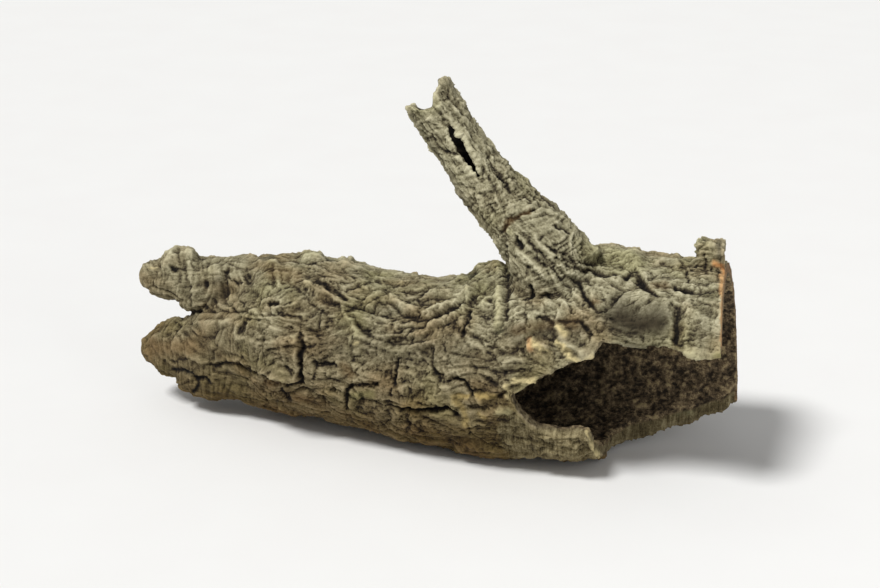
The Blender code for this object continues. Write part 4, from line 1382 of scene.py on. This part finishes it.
def add_boolean(body, name, operation, pieces):
    """Joins or cuts every piece of a collection."""
    step = body.modifiers.new(name, "BOOLEAN")
    step.operation = operation
    step.operand_type = "COLLECTION"
    step.collection = pieces
    step.solver = "EXACT"


def plain_mesh(face_size):
    """The plain tube with its branch, hollows, window and sawn end, before any relief."""
    trunk = tube_path(TRUNK)
    joined = new_collection("joined", hidden=True)
    cutters = new_collection("cutters", hidden=True)
    for name, stations in (("upper_limb", UPPER_LIMB), ("lower_limb", LOWER_LIMB), ("branch", BRANCH)):
        add_helper(name, tube_mesh(name, tube_path(stations)), joined)
    add_helper("knob", knob_mesh(), joined)
    for name, path in hollow_paths().items():
        add_helper(name, tube_mesh(name, path), cutters)
    add_helper("window", window_mesh(trunk), cutters)
    add_helper("sawn_block", sawn_block("sawn_block"), cutters)
    add_helper("notch", view_prism("notch", NOTCH, CUT_NEAR, NOTCH_FAR), cutters)
    add_helper("slit", view_prism("slit", SLIT, CUT_NEAR, SLIT_FAR), cutters)
    body = add_helper("plain_bark", tube_mesh("plain_bark", trunk), bpy.context.scene.collection)
    add_boolean(body, "join", "UNION", joined)
    add_boolean(body, "cut", "DIFFERENCE", cutters)
    remesh = body.modifiers.new("even_faces", "REMESH")
    remesh.mode = "VOXEL"
    remesh.voxel_size = face_size
    smooth = body.modifiers.new("soft_joins", "SMOOTH")
    smooth.iterations = round((JOIN_REACH / face_size) ** 2)
    mesh = evaluated_mesh(body)
    for collection in (joined, cutters):
        for helper in list(collection.objects):
            bpy.data.objects.remove(helper)
        bpy.data.collections.remove(collection)
    bpy.data.objects.remove(body)
    return mesh


def rows_of(source, name, width):
    """A mesh list's values as an array of rows."""
    values = np.empty(len(source) * width, np.int32 if name == "vertices" else float)
    source.foreach_get(name, values)
    return values.reshape(-1, width)


def keep(mesh, name, kind, field, values):
    """Stores values on the mesh's points, for the material to read."""
    layer = mesh.attributes.new(name, kind, "POINT")
    layer.data.foreach_set(field, np.ascontiguousarray(values, np.float32).ravel())


def weathered_mesh(sizes):
    """The whole bark with its relief, and on its points what the material reads."""
    mesh = plain_mesh(sizes.face_size)
    points = rows_of(mesh.vertices, "co", 3)
    normals = rows_of(mesh.vertex_normals, "vector", 3)
    move, kinds, grain, patch = weather(mesh, points, normals, sizes)
    points += move[:, None] * normals
    plane, out = sawn_plane()
    past = (points - plane) @ out + SAW_MARK * noise(points / SAW_MARK_SIZE, INNER_SEED + SAW_TURN)
    points -= np.maximum(past, 0)[:, None] * out
    points[:, 2] = np.maximum(points[:, 2], 0)
    mesh.vertices.foreach_set("co", points.ravel())
    mesh.update()
    normals = rows_of(mesh.vertex_normals, "vector", 3)
    edges = rows_of(mesh.edges, "vertices", 2)
    near = even_out(points, edges, LEDGE_ROUNDS)
    far = even_out(near, edges, HOLLOW_ROUNDS)
    ledge = np.sum((points - near) * normals, axis=1) / LEDGE_HEIGHT
    rise = np.sum((points - far) * normals, axis=1) / HOLLOW_DEPTH
    for name, values in {**kinds, "ledge": np.clip(ledge, -1, 1), "rise": np.clip(rise, -1, 1)}.items():
        keep(mesh, name, "FLOAT", "value", values)
    keep(mesh, "grain", "FLOAT_VECTOR", "vector", grain)
    keep(mesh, "whole_normal", "FLOAT_VECTOR", "vector", normals)
    keep(mesh, "patch", "FLOAT_COLOR", "color", patch)
    return mesh


def piece_planes():
    """For each closed piece of the bark, the planes that end it, as a point and the way out."""
    planes = {"bark_branch": [((0, 0, BRANCH_CUT), DOWN)]}
    for number, name in enumerate(TRUNK_PIECES):
        planes[name] = [((0, 0, BRANCH_CUT), UP)]
        planes[name] += [((place, 0, 0), LEFT) for place in TRUNK_CUTS[:number][-1:]]
        planes[name] += [((place, 0, 0), RIGHT) for place in TRUNK_CUTS[number:][:1]]
    return planes


def cut_piece(mesh, name, planes):
    """A closed piece of the bark, on the near side of each plane, shaded as the whole bark is."""
    sheet = bmesh.new()
    sheet.from_mesh(mesh)
    for face in sheet.faces:
        face.smooth = True
    for point, away in planes:
        everything = [*sheet.verts, *sheet.edges, *sheet.faces]
        cut = bmesh.ops.bisect_plane(sheet, geom=everything, plane_co=point, plane_no=away, clear_outer=True)
        rim = [item for item in cut["geom_cut"] if isinstance(item, bmesh.types.BMEdge) and item.is_boundary]
        caps = bmesh.ops.triangle_fill(sheet, edges=rim, normal=away, use_beauty=True)
        for face in caps["geom"]:
            if isinstance(face, bmesh.types.BMFace):
                face.smooth = False
                if face.normal.dot(Vector(away)) < 0:
                    face.normal_flip()
    piece = bpy.data.meshes.new(name)
    sheet.to_mesh(piece)
    sheet.free()
    whole = rows_of(piece.attributes["whole_normal"].data, "vector", 3)
    corners = np.empty(len(piece.loops), np.int32)
    piece.loops.foreach_get("vertex_index", corners)
    smooth = np.empty(len(piece.polygons), bool)
    totals = np.empty(len(piece.polygons), np.int32)
    piece.polygons.foreach_get("use_smooth", smooth)
    piece.polygons.foreach_get("loop_total", totals)
    face_normals = rows_of(piece.polygon_normals, "vector", 3)
    bare = np.repeat(face_normals, totals, axis=0)
    shown = np.where(np.repeat(smooth, totals)[:, None], whole[corners], bare)
    piece.normals_split_custom_set(shown.tolist())
    piece.attributes.remove(piece.attributes["whole_normal"])
    return piece


def add_piece(name, mesh, material):
    """A finished piece of bark that stands for the frame's node."""
    mesh.materials.append(material)
    piece = bpy.data.objects.new(name, mesh)
    bpy.context.scene.collection.objects.link(piece)
    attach(piece, "root")
    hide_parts(NODE)
    return piece


def to_linear(code):
    """A colour's linear red, green, blue and solidity, from its sRGB hex."""
    parts = [int(code[start : start + 2], 16) / 255 for start in (1, 3, 5)]
    return (*[part / 12.92 if part <= 0.04045 else ((part + 0.055) / 1.055) ** 2.4 for part in parts], 1.0)


def add_node(tree, kind, inputs=None, out=0, stops=None, **settings):
    """Adds a shader node with its settings, its values and its links, and gives one of its outputs."""
    node = tree.nodes.new("ShaderNode" + kind)
    for name, value in settings.items():
        setattr(node, name, value)
    for key, value in (inputs or {}).items():
        if isinstance(value, bpy.types.NodeSocket):
            tree.links.new(value, node.inputs[key])
        else:
            node.inputs[key].default_value = value
    if stops:
        points = node.color_ramp.elements
        while len(points) < len(stops):
            points.new(1.0)
        for point, (place, colour) in zip(points, stops):
            point.position = place
            point.color = colour
    return node.outputs[out]


def cork_bark(colours):
    """Virgin cork oak bark, grown rough and weathered for years: dry and matt, pale olive grey, with painted
    highlight on what stands out and painted shade, brown to black, in its cracks and hollows, painted darker
    and browner towards the underside, with dark crumbling cork inside painted darker the farther in,
    weathered tan where it tore and orange tan where it was sawn."""
    material = bpy.data.materials.new("weathered_cork_bark")
    material.use_nodes = True
    tree = material.node_tree
    shader = tree.nodes["Principled BSDF"]

    def math_node(operation, first, second):
        """One sum on two values."""
        return add_node(tree, "Math", {0: first, 1: second}, operation=operation)

    def mixed(share, first, second, blend="MIX"):
        """The second colour over the first, by this share."""
        values = {0: share, 6: first, 7: second}
        return add_node(tree, "Mix", values, out=2, data_type="RGBA", blend_type=blend)

    def multiplied(share, source, cast):
        """The colour with this share of it multiplied by a cast."""
        return mixed(share, source, mixed(1.0, source, cast, "MULTIPLY"))

    def value(name):
        """What the shape stored on its points under this name."""
        return add_node(tree, "Attribute", out=2, attribute_name=name)

    def cloud(place, size, detail=3.0, rough=0.6):
        """Soft noise from 0 to 1 whose lumps are about this size in metres along each axis."""
        fineness = [1 / part for part in size]
        spread = add_node(tree, "VectorMath", {0: place, 1: fineness}, operation="MULTIPLY")
        values = {"Vector": spread, "Scale": 1.0, "Detail": detail, "Roughness": rough}
        return add_node(tree, "TexNoise", values)

    def stretched(source, low, high, start=0.0, end=1.0):
        """The source brought from the range between low and high to that between start and end."""
        return add_node(tree, "MapRange", {0: source, 1: low, 2: high, 3: start, 4: end})

    def ramp(source, *stops):
        """The colour at the source's place on a ramp of stops."""
        return add_node(tree, "ValToRGB", {0: source}, stops=stops)

    def summed(start, *parts):
        """The start, and each part's share of how far its source is from its middle."""
        total = start
        for source, middle, share in parts:
            part = math_node("MULTIPLY", math_node("SUBTRACT", source, middle), share)
            total = math_node("ADD", total, part)
        return total

    place = add_node(tree, "TexCoord", out=3)
    grain = add_node(tree, "Attribute", out=1, attribute_name="grain")
    # Crust: streaks along the grain 30 mm long and 2 mm wide, mottling of 9 mm and of 30 mm, and grit of
    # 1.3 mm
    streaks = cloud(grain, (0.030, 0.002, 0.002), 4.0)
    mottle = cloud(grain, (0.012, 0.007, 0.007), 4.0, 0.65)
    broad = cloud(grain, (0.032, 0.022, 0.022), 3.0, 0.5)
    grit = cloud(place, (0.0013, 0.0013, 0.0013), 3.0, 0.7)
    # Ledge, rise and crack paint highlight on what stands out and shade in hollows and cracks; the rest is
    # own tone
    tone = summed(
        MIDDLE_TONE,
        (value("ledge"), 0.0, LEDGE_TONE),
        (value("rise"), 0.0, RISE_TONE),
        (value("crack"), 0.0, CRACK_TONE),
        (streaks, 0.5, STREAK_TONE),
        (mottle, 0.5, MOTTLE_TONE),
        (broad, 0.5, BROAD_TONE),
        (grit, 0.5, GRIT_TONE),
    )
    # The darkest stops are painted shade in the cracks, and the worn edge stop is also painted highlight
    crust = ramp(
        tone,
        (0.05, colours.crack),
        (0.28, colours.deep_crust),
        (0.46, colours.crust),
        (0.62, colours.dry_crust),
        (0.80, colours.pale_crust),
        (1.00, colours.worn_edge_and_highlight),
    )
    # Patches some 50 mm wide lean to moss green or to earth brown, and painted shade makes the underside
    # darker and browner towards the bottom
    green = stretched(cloud(place, (0.060, 0.060, 0.060), 2.0), 0.50, 0.66, 0.0, 0.45)
    brown = stretched(cloud(place, (0.045, 0.045, 0.035), 2.0), 0.46, 0.66, 0.0, 0.50)
    less_on_branch = math_node("SUBTRACT", 1.0, math_node("MULTIPLY", value("on_branch"), BRANCH_CALM))
    brown = math_node("MULTIPLY", brown, less_on_branch)
    height = add_node(tree, "SeparateXYZ", {0: place}, out=2)
    underside_shading = stretched(height, *UNDERSIDE_SHADE_HEIGHTS, 0.9, 0.0)
    tinted = multiplied(green, crust, colours.green_cast)
    tinted = multiplied(brown, tinted, colours.brown_cast)
    tinted = multiplied(underside_shading, tinted, colours.underside_shade)
    # Traced patches keep the crust's light and dark, its painted highlight and shade as well as its own tone
    patch = add_node(tree, "Attribute", out=0, attribute_name="patch")
    cover = add_node(tree, "Attribute", out=3, attribute_name="patch")
    shade = stretched(tone, 0.1, 0.8, 0.30, 1.20)
    shaded = add_node(tree, "VectorMath", {0: patch, "Scale": shade}, operation="SCALE")
    # Torn cork, weathered: granular and olive tan, its ledges painted lighter. The lip's tear left upright
    # streaks
    # 2 mm wide; the lip also gets painted highlight where it rises, and painted shade in its cracks and on
    # its underside
    grains = cloud(place, (0.004, 0.004, 0.004), 4.0, 0.75)
    tears = cloud(place, (0.0022, 0.030, 0.030), 4.0, 0.65)
    ragged = summed(grains, (value("ledge"), 0.0, 0.25), (tears, 0.5, 0.9))
    torn_colour = ramp(
        ragged,
        (0.25, colours.torn_pit),
        (0.50, colours.torn_cork),
        (0.80, colours.worn_torn),
    )
    streaked = summed(
        tears,
        (grit, 0.5, 0.7),
        (mottle, 0.5, 0.8),
        (value("rise"), 0.0, 0.20),
        (value("crack"), 0.0, -0.5),
    )
    lip_colour = ramp(
        streaked,
        (0.20, colours.torn_pit),
        (0.45, colours.lip_cork),
        (0.75, colours.lip_pale),
    )
    # Sawn cork: orange tan and granular
    sawn_colour = ramp(
        summed(grains, (grit, 0.5, 0.4)),
        (0.30, colours.sawn_pit),
        (0.48, colours.sawn_cork),
        (0.72, colours.sawn_pale),
    )
    # Inside: dark crumbling cork with clods of 10 mm, grains of 3 mm and pale specks, its ledges painted
    # lighter, and painted shade that darkens it the farther in from the sawn end, and most inside the branch
    clods = cloud(place, (0.011, 0.008, 0.008), 3.0, 0.7)
    inner_painted_light = stretched(add_node(tree, "SeparateXYZ", {0: place}, out=0), *LIT_INSIDE, 0.6, 1.0)
    inner = ramp(
        summed(grains, (value("ledge"), 0.0, 0.35), (grit, 0.5, 0.9), (clods, 0.5, 1.6)),
        (0.25, colours.inner_pit),
        (0.52, colours.inner_dark),
        (0.68, colours.inner_grain),
        (0.84, colours.inner_speck),
    )
    lit = math_node("MULTIPLY", inner_painted_light, less_on_branch)
    inner = add_node(tree, "VectorMath", {0: inner, "Scale": lit}, operation="SCALE")
    colour = mixed(math_node("MULTIPLY", value("torn"), less_on_branch), tinted, torn_colour)
    lip_colour = multiplied(math_node("MULTIPLY", underside_shading, LIP_UNDERSIDE_SHADE), lip_colour, colours.underside_shade)
    colour = mixed(math_node("MULTIPLY", value("lip"), LIP_COVER), colour, lip_colour)
    colour = mixed(value("sawn"), colour, sawn_colour)
    colour = mixed(cover, colour, shaded)
    colour = mixed(value("inside"), colour, inner)
    tree.links.new(colour, shader.inputs["Base Color"])
    shader.inputs["Roughness"].default_value = 0.92
    shader.inputs["Specular IOR Level"].default_value = 0.2
    # The finest crumbs and streaks, 1.3 mm and 2 mm wide, stand out by bump alone
    crumbs = math_node("ADD", grit, math_node("MULTIPLY", streaks, 0.8))
    bump = add_node(tree, "Bump", {"Strength": 0.8, "Distance": 0.0010, "Height": crumbs})
    tree.links.new(bump, shader.inputs["Normal"])
    return material


def floor_finish(colours):
    """A pale matt floor, painted smooth, with a trace of unevenness from the roller."""
    material = bpy.data.materials.new("pale_matt_floor")
    material.use_nodes = True
    tree = material.node_tree
    shader = tree.nodes["Principled BSDF"]
    place = add_node(tree, "TexCoord", out=3)
    roller = add_node(tree, "TexNoise", {"Vector": place, "Scale": 12.0, "Detail": 2.0})
    paint = add_node(tree, "ValToRGB", {0: roller}, stops=((0.0, colours.floor_low), (1.0, colours.floor)))
    tree.links.new(paint, shader.inputs["Base Color"])
    shader.inputs["Roughness"].default_value = 0.8
    return material


def colour_property(name, description, code):
    """A colour that a user can change, from its sRGB hex."""
    return bpy.props.FloatVectorProperty(
        name=name, description=description, default=to_linear(code), size=4, min=0, max=1, subtype="COLOR"
    )


def size_property(name, description, default):
    """A length in metres that a user can change."""
    return bpy.props.FloatProperty(
        name=name, description=description, default=default, min=0, precision=5, unit="LENGTH"
    )


class BarkSizes(bpy.types.PropertyGroup):
    face_size: size_property("Face size", "Width of the faces that the bark is built of", 0.00118)
    flake_length: size_property("Flake length", "Length of the flakes along the grain", 0.016)
    flake_width: size_property("Flake width", "Width of the flakes across the grain", 0.009)
    flake_step: size_property("Flake step", "How far one flake stands above the next", 0.0013)
    fissure_depth: size_property("Fissure depth", "Depth of the fissures along the grain", 0.0009)
    cross_depth: size_property("Cross crack depth", "Depth of the short cracks across the grain", 0.0006)
    wrinkle_depth: size_property("Wrinkle depth", "Depth of the wrinkles along the grain", 0.0006)
    ring_depth: size_property("Ring depth", "Depth of the rings round the thin limbs", 0.0009)
    chip_step: size_property("Chip step", "How far the smallest chips stand out", 0.0005)
    crumb_height: size_property("Crumb height", "Height of the finest crumbs", 0.0004)
    pit_depth: size_property("Pit depth", "Depth of the pits in the inner and torn cork", 0.0008)
    clod_height: size_property("Clod height", "Height of the lumps on the inner and torn cork", 0.0009)
    traced_depth: bpy.props.FloatProperty(
        name="Traced depth",
        description="Depth of the traced cracks and ridges, as a share of the real one",
        default=1.0,
        min=0,
        max=2,
        subtype="FACTOR",
    )


class BarkColours(bpy.types.PropertyGroup):
    # The darkest crust colours are painted shade in the cracks
    crack: colour_property("Crack", "Bottom of the cracks", "#14110D")
    deep_crust: colour_property("Deep crust", "Sides of the cracks", "#3B3428")
    crust: colour_property("Crust", "Most of the crust", "#6E674F")
    dry_crust: colour_property("Dry crust", "Crust that stands out", "#918B6F")
    pale_crust: colour_property("Pale crust", "Weathered crust in full light", "#AFA88B")
    # Pale worn edges, also painted highlight on what stands out
    worn_edge_and_highlight: colour_property("Worn edge", "Edges worn pale", "#C9C3A3")
    green_cast: colour_property("Green cast", "What green patches are multiplied by", "#E0E4B8")
    brown_cast: colour_property("Brown cast", "What brown patches are multiplied by", "#D0B18C")
    inner_pit: colour_property("Inner pit", "Pits of the inner cork", "#2A231B")
    inner_dark: colour_property("Inner dark", "Most of the inner cork", "#61533F")
    inner_grain: colour_property("Inner grain", "Grains of the inner cork", "#87755A")
    inner_speck: colour_property("Inner speck", "Pale specks of the inner cork", "#A8966F")
    torn_pit: colour_property("Torn pit", "Pits of the torn cork", "#2C2418")
    torn_cork: colour_property("Torn cork", "Most of the torn cork", "#5F543E")
    worn_torn: colour_property("Worn torn cork", "Worn grains of the torn cork", "#94876A")
    lip_cork: colour_property("Lip cork", "Most of the torn lip under the window", "#6B6144")
    lip_pale: colour_property("Lip pale", "Pale streaks of the torn lip", "#A59B78")
    sawn_pit: colour_property("Sawn pit", "Pits of the sawn cork", "#34281C")
    sawn_cork: colour_property("Sawn cork", "Most of the sawn cork", "#7A6145")
    sawn_pale: colour_property("Sawn pale", "Pale grains of the sawn cork", "#A98C64")
    # Painted shade that darkens and browns the underside
    underside_shade: colour_property("Underside shade", "What the underside is multiplied by", "#A58D6A")
    cream: colour_property("Cream", "Bare pale cork at torn curls", "#CDBD8C")
    peach: colour_property("Peach", "Fresh cork at the sawn rim", "#C39A6A")
    orange: colour_property("Orange", "Reddest cork at the sawn rim", "#B9783F")
    ochre: colour_property("Ochre", "Ochre flakes", "#A8925A")
    earth: colour_property("Earth", "Brown earthy patches", "#6B5333")
    moss: colour_property("Moss", "Olive patches", "#858052")
    lichen: colour_property("Lichen", "Pale olive crust", "#A8A27A")
    slate: colour_property("Slate", "Smooth dark grey crust", "#3A3325")
    # Nearly black crumbs, and painted shade under the smooth plate's lower edge
    soot: colour_property("Soot", "Nearly black crumbs", "#2B2A22")


class StageLooks(bpy.types.PropertyGroup):
    floor: colour_property("Floor", "The floor's paint", "#E9E9E7")
    floor_low: colour_property("Floor low", "The paint's darker trace", "#E6E5E3")
    floor_width: size_property("Floor width", "Width of the floor", 16.0)
    key_strength: bpy.props.FloatProperty(
        name="Key light",
        description="Strength of the soft light above and to the left",
        default=2.95,
        min=0,
    )
    fill_power: bpy.props.FloatProperty(
        name="Fill light",
        description="Power of the soft light from the right",
        default=4,
        min=0,
        unit="POWER",
    )
    sky: bpy.props.FloatProperty(
        name="Sky", description="Strength of the even light from all round", default=0.36, min=0
    )


class BARK_OT_shape(bpy.types.Operator):
    """Builds the weathered bark in closed pieces that meet without a seam"""

    bl_idname = "bark.shape"
    bl_label = "Shape the bark"

    def execute(self, context):
        """Shapes the whole bark, then cuts it into its pieces."""
        whole = weathered_mesh(context.scene.bark_sizes)
        material = cork_bark(context.scene.bark_colours)
        for name, planes in piece_planes().items():
            add_piece(name, cut_piece(whole, name, planes), material)
        bpy.data.meshes.remove(whole)
        return {"FINISHED"}


class BARK_OT_stage(bpy.types.Operator):
    """Lays the pale floor, hangs the soft lights and sets the camera at the photograph's view"""

    bl_idname = "bark.stage"
    bl_label = "Set the stage"

    def execute(self, context):
        """Sets up the floor, lights and camera."""
        looks = context.scene.stage_looks
        lay_floor(looks)
        hang_light("key_light", key_light(looks.key_strength), KEY_PLACE)
        hang_light("fill_light", fill_light(looks.fill_power), FILL_PLACE)
        light_sky(context.scene, looks)
        stand_camera(context.scene)
        context.scene.view_settings.view_transform = "Standard"
        return {"FINISHED"}


class BARK_PT_panel(bpy.types.Panel):
    """The bark's sizes and colours, and the buttons that build it"""

    bl_idname = "BARK_PT_panel"
    bl_label = "Cork bark tube"
    bl_space_type = "VIEW_3D"
    bl_region_type = "UI"
    bl_category = "Cork bark"

    def draw(self, context):
        """Buttons for the steps, then every size, colour and light."""
        for step in STEPS:
            self.layout.operator(step)
        for group in GROUPS:
            box = self.layout.box()
            for name in GROUPS[group].__annotations__:
                box.prop(getattr(context.scene, group), name)


def lay_floor(looks):
    """A wide plain floor under the bark."""
    sheet = bmesh.new()
    squares = FLOOR_SQUARES
    bmesh.ops.create_grid(sheet, x_segments=squares, y_segments=squares, size=looks.floor_width / 2)
    mesh = bpy.data.meshes.new("floor")
    sheet.to_mesh(mesh)
    sheet.free()
    mesh.materials.append(floor_finish(looks))
    floor = bpy.data.objects.new("floor", mesh)
    bpy.context.scene.collection.objects.link(floor)


def looking_at(place, target):
    """The turn that points a light or camera from its place at the target."""
    return (Vector(target) - Vector(place)).to_track_quat("-Z", "Y")


def hang_light(name, light, place):
    """A light at its place, facing the bark."""
    lamp = bpy.data.objects.new(name, light)
    lamp.location = place
    lamp.rotation_mode = "QUATERNION"
    lamp.rotation_quaternion = looking_at(place, VIEW_TARGET)
    bpy.context.scene.collection.objects.link(lamp)


def key_light(strength):
    """A wide soft box so far off, above and to the left, that it lights the whole floor alike."""
    light = bpy.data.lights.new("key_light", "SUN")
    light.angle = KEY_WIDTH
    light.energy = strength
    return light


def fill_light(power):
    """A weak soft box near the sawn end."""
    light = bpy.data.lights.new("fill_light", "AREA")
    light.shape = "SQUARE"
    light.size = FILL_SIZE
    light.energy = power
    return light


def light_sky(scene, looks):
    """Even light from all round, as in a white tent."""
    world = bpy.data.worlds.new("white_tent")
    world.use_nodes = True
    scene.world = world
    sky = world.node_tree.nodes["Background"]
    sky.inputs["Color"].default_value = to_linear("#FFFFFF")
    sky.inputs["Strength"].default_value = looks.sky


def stand_camera(scene):
    """The camera of the photograph's view."""
    lens = bpy.data.cameras.new("photo_camera")
    lens.sensor_width = SENSOR_WIDTH
    lens.lens = SENSOR_WIDTH * VIEW_DISTANCE / (PHOTO_WIDTH * PIXEL)
    camera = bpy.data.objects.new("photo_camera", lens)
    right, up, back = view_axes()
    turn = Matrix((right, up, back)).transposed().to_4x4()
    camera.matrix_world = Matrix.Translation(camera_place()) @ turn
    scene.collection.objects.link(camera)
    scene.camera = camera


CLASSES = (BarkSizes, BarkColours, StageLooks, BARK_OT_shape, BARK_OT_stage, BARK_PT_panel)
GROUPS = {"bark_sizes": BarkSizes, "bark_colours": BarkColours, "stage_looks": StageLooks}
STEPS = ("bark.shape", "bark.stage")


def register():
    """Adds the sizes, colours, steps and panel to Blender."""
    for entry in CLASSES:
        bpy.utils.register_class(entry)
    for name, group in GROUPS.items():
        setattr(bpy.types.Scene, name, bpy.props.PointerProperty(type=group))


def unregister():
    """Takes them out again."""
    for name in GROUPS:
        delattr(bpy.types.Scene, name)
    for entry in reversed(CLASSES):
        bpy.utils.unregister_class(entry)


def main():
    """Builds the bark and its stage."""
    register()
    bpy.ops.bark.shape()
    bpy.ops.bark.stage()


if __name__ == "__main__":
    main()
